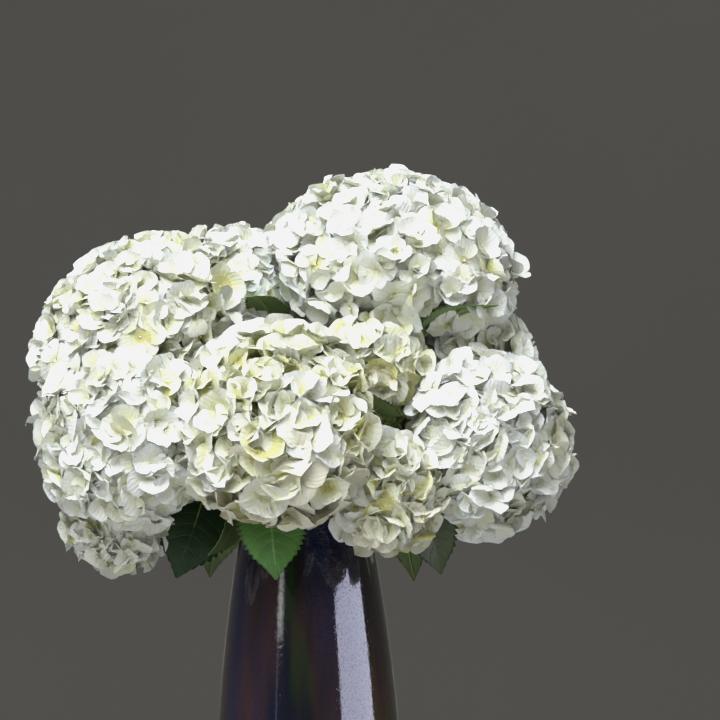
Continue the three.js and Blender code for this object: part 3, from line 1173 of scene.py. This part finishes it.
class Habit(Enum):
    """How a petal is bent: its curl along it in degrees, its hollow across it and its ruffle."""

    FLAT = (-12.0, 0.06, 0.045)
    CUPPED = (20.0, 0.30, 0.05)
    ARCHED = (-40.0, 0.12, 0.06)
    ROLLED = (-74.0, -0.10, 0.06)
    RUFFLED = (-22.0, 0.10, 0.11)


@dataclass(frozen=True)
class PetalShape:
    """One broad, thin, round-ended petal.

    A row is where it starts in the middle and at the sides, as shares of the length, and its width.
    The zones are how much deeper its tint is in each row of faces, from its base: partly a real
    petal's greener base, partly painted shade in the floret's hollow middle. A wave of its
    outline or face is an amount, and how fast it turns along the petal and across it.
    """

    habit: Habit
    length: float = PETAL_MM * MM
    width: float = 20.5 * MM
    claw: float = 1.1 * MM
    uneven: float = 0.08
    skew: float = 0.14
    curl_spread: float = 10.0
    arc: float = 60.0
    rows: tuple[Triple, ...] = (
        (0.0, 0.0, 0.12), (0.18, 0.08, 0.38), (0.40, 0.2, 0.69),
        (0.62, 0.38, 0.93), (0.83, 0.58, 1.0), (1.0, 0.775, 0.87),
    )
    # tints deepen towards the base: a petal's own greener base, and painted shade in the floret's middle
    zones: tuple[int, ...] = (5, 3, 2, 1, 0)
    columns: int = 7
    waves: tuple[Triple, ...] = ((0.04, 0.0, 4.4), (0.05, 5.0, 1.0), (1.0, 6.3, 3.4), (0.5, 0.0, 8.5))
    bend_steps: int = 44
    bend_reach: float = 1.1

    def surface(self, rng: np.random.Generator) -> np.ndarray:
        """Shapes the petal, along +X from the floret's middle.

        Args:
            rng: where its own small differences come from.

        Returns:
            The points, row by row.
        """
        curl, hollow, ruffle = self.habit.value
        length = self.length * rng.uniform(1 - self.uneven, 1 + self.uneven)
        half = self.width / 2 * rng.uniform(1 - self.uneven, 1 + self.uneven)
        phase = rng.uniform(0, 2 * math.pi, len(self.waves))
        skew = rng.uniform(-self.skew, self.skew)
        fine = np.linspace(0, self.bend_reach, self.bend_steps + 1)
        angle = np.radians((curl + rng.uniform(-self.curl_spread, self.curl_spread)) * fine)
        run, rise = (
            np.concatenate([[0], np.cumsum(part(angle[1:])) / (self.bend_steps / self.bend_reach)])
            for part in (np.cos, np.sin)
        )
        arc = math.radians(self.arc)
        points = []
        for u, side, share in self.rows:
            for v in np.linspace(-1, 1, self.columns):
                outline, breadth, edge_wave, rim_wave = (
                    amount * math.sin(start + along * u + over * v)
                    for start, (amount, along, over) in zip(phase, self.waves)
                )
                back = u - (u - side) * (1 - math.cos(arc * v)) / (1 - math.cos(arc))
                back *= 1 + outline * u
                across = math.sin(arc * v) / math.sin(arc) * share
                edge = max(abs(v), u * u)
                x = self.claw + length * float(np.interp(back, fine, run))
                y = across * half * (1 + breadth) + skew * length * u * u
                z = length * float(np.interp(back, fine, rise)) + hollow * half * across * across
                z += ruffle * length * u * (edge**2 * edge_wave + edge**3 * rim_wave)
                points.append((x, y, z))
        return np.array(points)

    def build(self, name: str, rng: np.random.Generator) -> Object:
        """Makes the petal in its own frame, with its upper face to +Z and a zone on each face.

        Args:
            name: the object's name.
            rng: where its own small differences come from.

        Returns:
            The object, which isn't linked to the scene.
        """
        faces = [face[::-1] for face in grid_faces(len(self.rows), self.columns)]
        mesh = mesh_of(name, self.surface(rng), faces)
        add_attributes(mesh, "FACE", zone=("INT", np.repeat(self.zones, self.columns - 1)))
        across = np.linspace(-1, 1, self.columns)
        add_uv(mesh, np.array([(0.5 + 0.5 * v, u) for u, _, _ in self.rows for v in across]))
        return bpy.data.objects.new(name, mesh)


@dataclass(frozen=True)
class Bud:
    """The small unopened flower in a floret's middle. Its heights are in radii."""

    radius: float = 1.5 * MM
    waist: float = 0.4
    top: float = 1.4
    zone: int = 2

    def build(self, name: str) -> Object:
        """Makes the bud: a four-sided waist with a point above it and a longer one below.

        Args:
            name: the object's name.

        Returns:
            The object, which isn't linked to the scene.
        """
        waist = [(x, y, self.waist) for x, y in ((1, 0), (0, 1), (-1, 0), (0, -1))]
        points = np.array([*waist, (0, 0, self.top), (0, 0, -1)]) * self.radius
        faces = []
        for k in range(4):
            faces += [(k, (k + 1) % 4, 4), ((k + 1) % 4, k, 5)]
        mesh = mesh_of(name, points, faces)
        add_attributes(mesh, "FACE", zone=("INT", [self.zone] * len(faces)))
        add_uv(mesh, np.full((len(points), 2), 0.5))
        return bpy.data.objects.new(name, mesh)


@dataclass
class PetalStock:
    """The petal shapes that every head draws from: a few of each habit, and the bud.

    Their order by name in the collection is the order of the kind numbers.
    """

    tints: list[Material]
    each: int = 4

    def __post_init__(self) -> None:
        """Makes the shapes, and the tree that sets them out."""
        self.tree = petal_tree(self.tints)
        self.bud = self.each * len(Habit)
        self.shapes = bpy.data.collections.new("petal_stock")
        rng = np.random.default_rng(SEED)
        for number in range(self.bud):
            shape = PetalShape(list(Habit)[number // self.each])
            self.shapes.objects.link(shape.build(f"petal_{number:02d}", rng))
        self.shapes.objects.link(Bud().build("petal_bud"))


@dataclass(frozen=True)
class FloretLayer:
    """A layer of florets in a head. Shares are of the way from its centre to its surface.

    The spacing is in petal lengths, and the room is the share of the dome that has to be free.
    """

    spacing: float
    lowest: float
    highest: float
    least_room: float
    inset: float
    tilt: float
    # how many tints deeper its petals are: partly young inner florets' own green, partly painted shade deep
    # among the florets
    deepen: int


@dataclass
class Rays:
    """A head's branching stalks: a hub, main rays to forks, and a twig from a fork to each floret.

    Limbs have the radius at their start and at their end.
    """

    head: Head
    bunch: Bunch
    seed: int
    count: int = 9
    depth: float = 1.35
    hub_share: float = 0.62
    hub_taper: float = 0.85
    hub_steps: int = 4
    fork_share: float = 0.42
    lift: float = 6 * MM
    ray_steps: int = 6
    ray_radii: Pair = (2.1 * MM, 1.3 * MM)
    twig_bend: float = 0.55
    twig_sway: float = 2.5 * MM
    twig_steps: int = 4
    twig_radii: Pair = (0.95 * MM, 0.6 * MM)
    sides: int = 5

    def build(self, florets: np.ndarray) -> None:
        """Makes the stalks and dresses them.

        Args:
            florets: the points to reach.
        """
        head, bunch = self.head, self.bunch
        rng = np.random.default_rng(self.seed)
        tubes = TubeMaker(bunch.tubes)
        hub = head.centre - head.axis * head.drop * self.hub_share
        radii = np.linspace(bunch.tip_radius, self.hub_taper * bunch.tip_radius, self.hub_steps)
        tubes.line(np.linspace(bunch.neck(head), hub, self.hub_steps), radii)
        spread = golden_spread(head.axis, self.count, self.depth)
        forks = head.centre + spread * (bunch.reach(head, spread) * self.fork_share)[:, None]
        for fork in forks:
            bend = hub + (fork - hub) * 0.5 + head.axis * self.lift
            tubes.curve([hub, bend, fork], self.ray_steps, self.ray_radii)
        for floret in florets:
            fork = forks[np.argmin(np.linalg.norm(forks - floret, axis=1))]
            bend = fork + (floret - fork) * self.twig_bend + rng.normal(0, self.twig_sway, 3)
            tubes.curve([fork, bend, floret], self.twig_steps, self.twig_radii)
        finish_piece(tubes.build(f"rays_{head.name}", self.sides, bunch.finishes.ray), "green_stem")


@dataclass
class FlowerHead:
    """A mophead: florets over its dome and among them, on rays that branch from the stem.

    Angles are in degrees. Squeezed, creased and the underside pair are each a limit, and the share of
    the florets past it that get painted shade: one tint deeper beside other heads and in clefts, and
    beige on the undersides of cream heads. A floret's size is the first part of its pair, and the
    second times its room. Every second petal is the lower one, by an angle and a depth.
    """

    head: Head
    bunch: Bunch
    stock: PetalStock
    seed: int
    dome: float = 130.0
    layers: tuple[FloretLayer, ...] = (
        FloretLayer(1.04, 0.91, 1.01, 0.6, 12.5 * MM, 26.0, 0),
        FloretLayer(1.35, 0.76, 0.85, 0.72, 4 * MM, 18.0, 1),
        FloretLayer(2.0, 0.6, 0.68, 0.8, 2 * MM, 10.0, 5),
    )
    scatter: float = 0.22
    lump: float = 0.012
    lump_count: int = 5
    lump_rates: Pair = (4.0, 9.0)
    cleft_width_mm: float = 9.0
    middle: Triple = (0.0, 0.0, 0.45)
    turn_away: float = 1.6
    steepest: float = 52.0
    # painted shade: florets pressed against a neighbour head, or sunk in a cleft, get a tint one step deeper
    squeezed: Pair = (0.86, 0.5)
    creased: Pair = (0.05, 0.6)
    # painted shade: a limit on how far down a floret faces, and the share past it made beige on cream heads
    underside_shade: Pair = (-0.42, 0.5)
    size_by_room: Pair = (0.8, 0.2)
    sizes: Pair = (0.86, 1.12)
    size_variation: float = 0.1
    openings: Pair = (2.0, 72.0)
    spin_spread: float = 0.1
    lift_spread: float = 8.0
    lower_petal: Pair = (5.0, 0.5 * MM)
    own_habit: float = 0.75
    deeper_petals: float = 0.2
    bud_tint: int = 3
    habits: tuple[float, ...] = (0.2, 0.24, 0.24, 0.12, 0.2)
    overhang: float = 0.5

    def directions(self, spacing: float, rng: np.random.Generator) -> np.ndarray:
        """Spreads directions evenly over the dome, each moved a little at random.

        Args:
            spacing: how far apart the florets are on the dome.
            rng: where the small moves come from.

        Returns:
            One unit vector for each floret.
        """
        head = self.head
        depth = 1 - math.cos(math.radians(self.dome))
        mean = (head.radius * 2 + head.rise) / 3
        count = round(2 * math.pi * mean**2 * depth / spacing**2)
        even = golden_spread(head.axis, count, depth)
        return unit(even + rng.normal(0, self.scatter * spacing / mean, even.shape))

    def lumps(self, directions: np.ndarray) -> np.ndarray:
        """Makes the dome gently lumpy, in the same way for every layer.

        Args:
            directions: unit vectors from its centre.

        Returns:
            A share near 1 for each.
        """
        rng = np.random.default_rng(self.seed + LUMPS_SEED)
        swell = np.zeros(len(directions))
        for _ in range(self.lump_count):
            along = unit(rng.normal(0, 1, 3))
            rate = rng.uniform(*self.lump_rates)
            swell += np.cos(rate * (directions @ along) + rng.uniform(0, 2 * math.pi))
        return 1 + self.lump * swell

    def place(self, layer: FloretLayer, rng: np.random.Generator) -> list[np.ndarray]:
        """Works out where one layer's florets are and what each is like.

        Args:
            layer: the layer.
            rng: where the differences come from.

        Returns:
            Their places, the ways that they face, their sizes and their tints.
        """
        head = self.head
        directions = self.directions(layer.spacing * head.petal_mm * MM, rng)
        full = head.full(directions)
        room = self.bunch.reach(head, directions) / full
        keep = room > layer.least_room
        directions, full, room = directions[keep], full[keep], room[keep]
        count = len(full)

        level = rng.uniform(layer.lowest, layer.highest, count) * self.lumps(directions)
        distance = full * room * level - layer.inset - head.sunk_mm * MM
        points = head.centre + directions * distance[:, None]
        folded = np.zeros(count)
        for height, sunk in head.clefts_mm:
            folded += sunk * np.exp(-(((points[:, 2] / MM - height) / self.cleft_width_mm) ** 2))
        points = head.centre + (points - head.centre) * (1 - folded)[:, None]

        away = unit(points - np.array(self.middle))
        facing = unit(head.outward(directions) + (1 - room)[:, None] * self.turn_away * away)
        tilt = np.clip(np.abs(rng.normal(0, layer.tilt, count)), 0, self.steepest)
        loose = rng.normal(0, 1, facing.shape)
        loose -= (loose * facing).sum(1)[:, None] * facing
        facing = unit(facing + np.tan(np.radians(tilt))[:, None] * unit(loose))

        # inner layers take deeper tints: partly young florets' own green, partly painted shade deep in the
        # head
        tint = rng.choice(len(head.tone.value), count, p=head.tone.value) + layer.deepen
        # painted shade between heads and in clefts: one tint deeper
        tint += (room < self.squeezed[0]) & (rng.random(count) < self.squeezed[1])
        tint += (folded > self.creased[0]) & (rng.random(count) < self.creased[1])
        # painted shade on the undersides: down-facing florets of cream heads turn beige
        underside_shade = (directions[:, 2] < self.underside_shade[0]) & (rng.random(count) < self.underside_shade[1])
        tint = np.where(underside_shade & (head.tone is Tone.CREAM), BEIGE, np.minimum(tint, LIME))
        least, more = self.size_by_room
        sizes = head.petal_mm / PETAL_MM * (least + more * room) * rng.uniform(*self.sizes, count)
        shown = np.all([gap.clear(points) for gap in GAPS], axis=0)
        return [values[shown] for values in (points, facing, sizes, tint)]

    def petals(self) -> tuple[Object, np.ndarray]:
        """Makes the petals, four to a floret, and the buds.

        Returns:
            The piece, and the points where florets of the outer layer sit.
        """
        rng = np.random.default_rng(self.seed)
        placed = [self.place(layer, rng) for layer in self.layers]
        points, turns, sizes, kinds, tints = [], [], [], [], []
        lower, sunk = self.lower_petal
        for layer in placed:
            for at, facing, size, tint in zip(*layer):
                upright = Vector(facing).to_track_quat("Z", "Y")
                spin = rng.uniform(0, 2 * math.pi)
                opening = float(np.clip(rng.normal(*self.head.opening), *self.openings))
                habit = rng.choice(len(Habit), p=self.habits)
                for k in range(4):
                    around = spin + k * math.pi / 2 + rng.normal(0, self.spin_spread)
                    lift = opening + rng.normal(0, self.lift_spread) - (lower if k % 2 else 0)
                    raised = Quaternion((0, 1, 0), -math.radians(lift))
                    turns.append((upright @ Quaternion((0, 0, 1), around) @ raised).to_euler())
                    own = habit if rng.random() < self.own_habit else rng.integers(len(Habit))
                    kinds.append(own * self.stock.each + rng.integers(self.stock.each))
                    points.append(at - facing * (sunk if k % 2 else 0))
                    sizes.append(size)
                    tints.append(tint + (tint < LIME and rng.random() < self.deeper_petals))
                points.append(at)
                turns.append(upright.to_euler())
                kinds.append(self.stock.bud)
                sizes.append(1.0)
                tints.append(min(tint, self.bud_tint))
        mesh = bpy.data.meshes.new("petals")
        mesh.from_pydata(np.array(points).tolist(), [], [])
        add_attributes(
            mesh,
            "POINT",
            facing=("FLOAT_VECTOR", turns),
            size=("FLOAT", sizes),
            kind=("INT", kinds),
            tint=("INT", tints),
        )
        made = grown(
            new_object(f"petals_{self.head.name}", mesh),
            self.stock.tree,
            {"Kinds": self.stock.shapes, "Size Variation": self.size_variation, "Seed": self.seed},
        )
        self.hold_in(made.data)
        return made, placed[0][0]

    def hold_in(self, mesh: Mesh) -> None:
        """Draws petal tips that pass the dome's surface part of the way back to it.

        Args:
            mesh: the petals.
        """
        points = np.empty(len(mesh.vertices) * 3)
        mesh.vertices.foreach_get("co", points)
        offset = points.reshape(-1, 3) - self.head.centre
        depth = self.head.depth(self.head.centre + offset)
        pull = np.where(depth > 1, (1 + self.overhang * (depth - 1)) / np.maximum(depth, 1), 1.0)
        mesh.vertices.foreach_set("co", (self.head.centre + offset * pull[:, None]).ravel())
        mesh.update()

    def build(self) -> None:
        """Makes the head's petals and rays, and dresses them."""
        petals, florets = self.petals()
        finish_piece(petals, "petals", f"bloom_{self.head.name}")
        Rays(self.head, self.bunch, self.seed + RAYS_SEED).build(florets)


# The leaves


@dataclass
class Leaf:
    """A serrated leaf on its stalk. Points and lengths of the table are in millimetres.

    It leaves its stem at a share of the stem's curve, and its upper face looks the way given. Its
    outline is how far back it is broadest, how blunt it is and how much it narrows to the tip, and
    its tip zone is where that starts as a share of the blade, and how long it is.
    """

    name: str
    stem: str
    along: float
    width_mm: float
    arch_mm: float
    base_mm: Triple
    tip_mm: Triple
    looks: Triple
    # by default the dark tone, painted shade for leaves deep in the bunch
    tone: LeafTone = LeafTone.DARK
    tip_curl: float = 0.0
    curl_start: float = 0.6
    thickness: float = 0.5 * MM
    teeth: int = 16
    tooth: float = 0.08
    tooth_rows: tuple[float, ...] = (0.0, 0.3, 0.65, 0.96)
    fold: float = 0.16
    tooth_power: int = 6
    outline: Triple = (0.76, 0.66, 0.25)
    tip_zone: Pair = (0.7, 0.3)
    tip_cut: float = 0.4
    least_share: float = 0.035
    columns: int = 13
    quilt: float = 0.7 * MM
    quilt_span: Pair = (0.9, 0.02)
    wave: float = 1.6 * MM
    wave_rate: float = 9.0
    stalk_steps: int = 10
    stalk_sag: float = 0.12
    stalk_radii: Pair = (2.4 * MM, 1.6 * MM)
    stalk_sides: int = 8
    rib_steps: int = 22
    rib_span: Pair = (0.04, 0.97)
    rib_depth: float = 0.5 * MM
    rib_radii: Pair = (1.35 * MM, 0.35 * MM)

    def lines(self) -> tuple[list[np.ndarray], np.ndarray, np.ndarray]:
        """Works out the blade's own frame.

        Returns:
            The midrib's control points, the way to the blade's side, and the way that it faces.
        """
        base, tip = np.array(self.base_mm) * MM, np.array(self.tip_mm) * MM
        along = unit(tip - base)
        looks = np.array(self.looks, float)
        looks = unit(looks - (looks @ along) * along)
        bend = (base + tip) / 2 + looks * self.arch_mm * MM * 2
        return [base, bend, tip], np.cross(looks, along), looks

    def curl(self, controls: list[np.ndarray], share: np.ndarray | float) -> np.ndarray | float:
        """Returns how far the blade's tip is bent down, at shares of its length."""
        length = np.linalg.norm(controls[2] - controls[0])
        return self.tip_curl * length * np.maximum(0.0, share - self.curl_start) ** 2

    def half_share(self, t: float) -> float:
        """Works out the outline of an oval, pointed blade.

        Args:
            t: the share of its length.

        Returns:
            The half width there, as a share of the greatest.
        """
        back, blunt, narrowing = self.outline
        start, length = self.tip_zone
        near_tip = min(1.0, max(0.0, (t - start) / length))
        oval = math.sin(math.pi * t**back) ** blunt * (1 - narrowing * t)
        return max(self.least_share, oval * (1 - self.tip_cut * near_tip * near_tip * (3 - 2 * near_tip)))

    def stations(self) -> list[Pair]:
        """Lists the blade's rows.

        Returns:
            Where each is, and how far a tooth stands out there.
        """
        rows = [
            ((k + part) / self.teeth, self.tooth * (2 * part - 1))
            for k in range(self.teeth)
            for part in self.tooth_rows
        ]
        return [*rows, (1.0, -self.tooth)]

    def surface(self) -> tuple[np.ndarray, np.ndarray]:
        """Shapes the blade's middle surface: folded, wavy and quilted between its veins.

        Returns:
            Its points, row by row, and the UV of each point.
        """
        controls, side, looks = self.lines()
        rng = np.random.default_rng(sum(map(ord, self.name)))
        phase = rng.uniform(0, 2 * math.pi, 2)
        points, uvs = [], []
        for t, tooth in self.stations():
            middle = bezier(controls, t)[0]
            share = self.half_share(t)
            for a in np.linspace(-1, 1, self.columns):
                wide = abs(a)
                toothed = 1 + tooth * wide**self.tooth_power
                off = a * (share * toothed * self.width_mm * MM / 2)
                between = ((t - VEIN_SWEEP * wide**VEIN_BEND) * VEIN_PAIRS) % 1.0
                dome = math.sin(math.pi * min(1, wide * self.quilt_span[0] + self.quilt_span[1])) ** 0.5
                lift = abs(off) * self.fold + self.quilt * (math.sin(math.pi * between) * dome) * share
                lift += self.wave * wide**2 * math.sin(phase[int(a > 0)] + self.wave_rate * t) * share
                lift -= self.curl(controls, t)
                points.append(middle + side * off + looks * lift)
                uvs.append((0.5 + 0.5 * a, t))
        return np.array(points), np.array(uvs)

    def blade(self, finishes: Finishes) -> Object:
        """Makes the blade: two thin faces that are closed at their edge.

        Args:
            finishes: the materials.

        Returns:
            The blade, with the rib's material as its third.
        """
        middle, uvs = self.surface()
        count, columns = len(middle), self.columns
        rows = count // columns
        half = self.lines()[2] * self.thickness / 2
        top = [face[::-1] for face in grid_faces(rows, columns)]
        under = grid_faces(rows, columns, first=count)
        rim = [i * columns for i in range(rows)]
        rim += [(rows - 1) * columns + j for j in range(1, columns)]
        rim += [i * columns + columns - 1 for i in range(rows - 2, -1, -1)]
        rim += range(columns - 2, 0, -1)
        edge = [(a, b, b + count, a + count) for a, b in zip(rim, [*rim[1:], rim[0]])]
        mesh = mesh_of(self.name, np.vstack([middle + half, middle - half]), top + under + edge)
        add_uv(mesh, np.vstack([uvs, uvs]))
        for material in (finishes.leaf_top[self.tone], finishes.leaf_under, finishes.rib):
            mesh.materials.append(material)
        numbers = [0] * len(top) + [1] * (len(under) + len(edge))
        mesh.polygons.foreach_set("material_index", numbers)
        return new_object(f"blade_{self.name}", mesh)

    def stalk(self, bunch: Bunch) -> Object:
        """Makes the stalk, from the stem to the blade, and the rib that runs on under it.

        Args:
            bunch: the bunch that the leaf is in.

        Returns:
            The two, as one piece.
        """
        controls, _, looks = self.lines()
        head = next(head for head in bunch.heads if head.name == self.stem)
        start = bezier(bunch.controls(head)[1], self.along)[0]
        base = controls[0]
        bend = (start + base) / 2 + UP * np.linalg.norm(base - start) * self.stalk_sag
        share = np.linspace(*self.rib_span, self.rib_steps)
        depth = self.rib_depth + self.curl(controls, share)
        rib = bezier(controls, share) - looks * depth[:, None]
        points = [bezier([start, bend, base], np.linspace(0, 1, self.stalk_steps)), rib]
        ends = ((self.stalk_radii, self.stalk_steps), (self.rib_radii, self.rib_steps))
        tubes = TubeMaker(bunch.tubes)
        tubes.line(np.vstack(points), np.concatenate([np.linspace(*radii, steps) for radii, steps in ends]))
        return tubes.build(f"stalk_{self.name}", self.stalk_sides, bunch.finishes.rib)

    def build(self, bunch: Bunch) -> None:
        """Makes the leaf as one piece and dresses it.

        Args:
            bunch: the bunch that it is in.
        """
        blade = self.blade(bunch.finishes)
        both = [blade, self.stalk(bunch)]
        with bpy.context.temp_override(active_object=blade, object=blade, selected_editable_objects=both):
            bpy.ops.object.join()
        finish_piece(blade, "leaf_blade", self.name)


# leaves with no tone given get the dark one, painted shade; the olive ones are painted light through from
# behind
LEAVES = [
    Leaf(
        "leaf_front", "front", 0.3, 56, 8, (-27, -80, 384), (-21, -88, 325), (0.08, -0.92, 0.4),
        LeafTone.BRIGHT,
    ),
    Leaf(
        "leaf_left_near", "side_left", 0.22, 50, 7, (-52, -42, 399), (-68, -62, 345), (1.0, -0.1, 0.2),
        LeafTone.OLIVE, tip_curl=0.5, fold=0.03,
    ),
    Leaf("leaf_left_far", "side_left_low", 0.4, 68, 7, (-76, -22, 397), (-98, -38, 331), (0.25, -0.9, 0.35)),
    Leaf("leaf_left_under", "shoulder_left", 0.12, 66, 6, (-62, 36, 406), (-82, 44, 355), (-0.3, -0.9, 0.2)),
    Leaf("leaf_heart", "front_low", 0.55, 40, -8, (66, -62, 448), (48, -106, 466), (0.25, 0.35, 0.9)),
    Leaf(
        "leaf_under_crown", "shoulder_right", 0.8, 52, 5, (90, -46, 510), (150, -76, 530),
        (-0.25, 0.1, 0.96),
    ),
    Leaf(
        "leaf_upper_left", "crown_left", 0.7, 36, 4, (-22, -14, 527), (-34, -72, 541), (0.1, 0.25, 0.95),
        LeafTone.BRIGHT,
    ),
    Leaf(
        "leaf_right_back", "side_right", 0.2, 52, 6, (84, 6, 398), (104, 16, 334), (0.25, -0.9, 0.3),
        LeafTone.OLIVE,
    ),
    Leaf("leaf_back_left", "back_left", 0.3, 60, 8, (-52, 62, 402), (-78, 92, 340), (-0.5, 0.75, 0.4)),
    Leaf("leaf_back_right", "back_right", 0.3, 58, 8, (58, 62, 398), (84, 86, 334), (0.6, 0.7, 0.4)),
    Leaf("leaf_back", "back_low", 0.3, 60, 8, (2, 78, 384), (-6, 92, 322), (0, 0.9, 0.4), LeafTone.BRIGHT),
    Leaf("leaf_back_upper", "crown_back", 0.6, 56, 6, (-22, 78, 484), (46, 84, 500), (0, 0.9, 0.4)),
    Leaf("leaf_side_right", "shoulder_right", 0.5, 60, 7, (98, 14, 448), (124, 20, 388), (0.95, 0, 0.35)),
    Leaf("leaf_side_left", "shoulder_left", 0.5, 60, 7, (-96, 16, 446), (-120, 20, 386), (-0.95, 0, 0.35)),
]


# The studio


class Use(Enum):
    """What a lamp is for: whether it lights surfaces, and whether it shows in the glaze."""

    LIGHT = (True, False)
    GLOSS = (False, True)


@dataclass(frozen=True)
class Lamp:
    """A soft rectangular lamp: where it hangs, what it looks at, its size, power and colour."""

    name: str
    at: Triple
    target: Triple
    size: Pair
    power: float
    colour: Triple
    use: Use
    spread: float = 180.0

    def build(self) -> None:
        """Adds the lamp to the scene."""
        light = bpy.data.lights.new(self.name, "AREA")
        light.shape = "RECTANGLE"
        light.size, light.size_y = self.size
        light.energy = self.power
        light.color = self.colour
        light.spread = math.radians(self.spread)
        made = new_object(self.name, light)
        made.location = self.at
        way = Vector(self.target) - Vector(self.at)
        made.rotation_euler = way.to_track_quat("-Z", "Y").to_euler()
        made.visible_diffuse, made.visible_glossy = self.use.value
        made.visible_camera = False


@dataclass
class Studio:
    """The floor, the round wall, the lamps, the camera and how it shows bright light."""

    finishes: Finishes
    eye: Triple = (0.0443, -2.750, 0.146)
    aim: Triple = (0.0443, 0.0, 0.500)
    lens: float = 179.0
    roll: float = -1.0
    room_radius: float = 7.0
    room_height: float = 5.5
    floor_rings: Triple = (1.0, 0.6, 0.2)
    floor_middle: float = 1 * MM
    cove: float = 1.2
    cove_steps: int = 9
    sides: int = 96
    lamps: tuple[Lamp, ...] = (
        Lamp("key", (-0.55, -1.8, 2.3), (0.0, -0.02, 0.5), (2.2, 2.2), 112.0, (0.93, 0.965, 1.0), Use.LIGHT),
        Lamp("front", (-1.4, -2.6, 1.5), (0.0, 0.0, 0.45), (1.4, 1.2), 12.0, (1.0, 0.99, 0.93), Use.LIGHT),
        Lamp("rim", (0.8, 2.2, 2.6), (0.0, 0.0, 0.45), (1.6, 1.2), 38.0, (0.98, 0.99, 1.0), Use.LIGHT),
        Lamp(
            "window", (2.19, -0.86, 0.55), (0.0, 0.0, 0.3), (2.14, 1.15), 43.0, (0.75, 0.77, 1.0),
            Use.GLOSS,
        ),
        Lamp(
            "door", (-1.5, -1.9, 1.12), (0.0, 0.0, 0.36), (0.55, 0.34), 0.009, (0.93, 1.0, 0.97), Use.GLOSS,
            spread=12.0,
        ),
        Lamp(
            "door_edge", (-1.62, -1.9, 0.85), (0.0, 0.0, 0.33), (0.05, 0.9), 0.15, (1.0, 0.78, 0.55),
            Use.GLOSS,
        ),
        Lamp(
            "back_window", (-0.04, 2.3, 0.75), (0.0, 0.0, 0.25), (0.4, 1.3), 3.0, (0.9, 0.95, 1.0),
            Use.GLOSS,
        ),
    )
    sky: Triple = (0.80, 0.775, 0.63)
    sky_strength: float = 0.56
    knee: float = 0.8
    brightest: float = 4.0
    curve_lights: tuple[float, ...] = (0.8, 0.85, 0.9, 1.0, 1.1, 1.3, 1.6, 2.1, 2.8)

    def shown(self, light: float) -> float:
        """Returns the tone that shows a light above the knee."""
        return 1 - (1 - self.knee) ** 2 / (light + 1 - 2 * self.knee)

    def response(self) -> None:
        """Shows tones as they are up to the knee, and rolls brighter ones off to keep detail."""
        settings = bpy.context.scene.view_settings
        settings.view_transform = "Standard"
        settings.use_curve_mapping = True
        settings.curve_mapping.use_clip = False
        curve = settings.curve_mapping.curves[3]
        curve.points[0].location = (0.0, 0.0)
        curve.points[1].location = (self.brightest, self.shown(self.brightest))
        for light in self.curve_lights:
            curve.points.new(light, self.shown(light))
        for point in curve.points[:2]:
            point.handle_type = "VECTOR"
        settings.curve_mapping.update()

    def turned(self, name: str, profile: list[Pair], finish: Material) -> None:
        """Turns a profile round the room's axis, as a piece of the stage.

        Args:
            name: the piece's name.
            profile: the radius and height of each ring.
            finish: its material.
        """
        faces = [face[::-1] for face in grid_faces(len(profile), self.sides, around=True)]
        made = new_object(name, mesh_of(name, turned_rings(profile, self.sides), faces))
        made.data.materials.append(finish)

    def stage(self) -> None:
        """Makes the pale floor and the plain wall that curves up from it all round."""
        edge = self.room_radius - self.cove
        floor = [(share * edge, 0.0) for share in self.floor_rings]
        self.turned("floor", [*floor, (self.floor_middle, 0.0)], self.finishes.floor)
        cove = [
            (edge + self.cove * math.sin(a), self.cove * (1 - math.cos(a)))
            for a in np.linspace(math.pi / 2, 0, self.cove_steps + 1)
        ]
        self.turned("wall", [(self.room_radius, self.room_height), *cove], self.finishes.wall)

    def camera(self) -> None:
        """Sets the camera at the photograph's angle, with its slight roll."""
        data = bpy.data.cameras.new("camera")
        data.lens = self.lens
        data.sensor_width = 36.0
        data.clip_end = 60.0
        made = new_object("camera", data)
        look = (Vector(self.aim) - Vector(self.eye)).to_track_quat("-Z", "Y").to_matrix()
        turn = look @ Matrix.Rotation(math.radians(self.roll), 3, "Z")
        made.matrix_world = Matrix.Translation(self.eye) @ turn.to_4x4()
        bpy.context.scene.camera = made

    def build(self) -> None:
        """Makes the whole studio."""
        world = bpy.data.worlds.new("studio_sky")
        world.use_nodes = True
        sky = world.node_tree.nodes["Background"]
        sky.inputs["Color"].default_value = (*self.sky, 1.0)
        sky.inputs["Strength"].default_value = self.sky_strength
        bpy.context.scene.world = world
        self.response()
        self.stage()
        for lamp in self.lamps:
            lamp.build()
        self.camera()


def main() -> None:
    """Builds the studio, the vase, the stems, the flower heads and the leaves, in that order."""
    logging.basicConfig(level=logging.INFO, format="%(message)s", stream=sys.stdout)
    finishes = Finishes()
    Studio(finishes).build()
    log.info("studio: floor, wall, lamps and camera")
    vase = Vase()
    vase.build(finishes.glaze)
    bunch = Bunch(HEADS, vase, finishes, tube_tree())
    for head in HEADS:
        Stem(head, bunch).build()
    stock = PetalStock(finishes.tints)
    for number, head in enumerate(HEADS):
        FlowerHead(head, bunch, stock, SEED + number).build()
    for leaf in LEAVES:
        leaf.build(bunch)


if __name__ == "__main__":
    main()
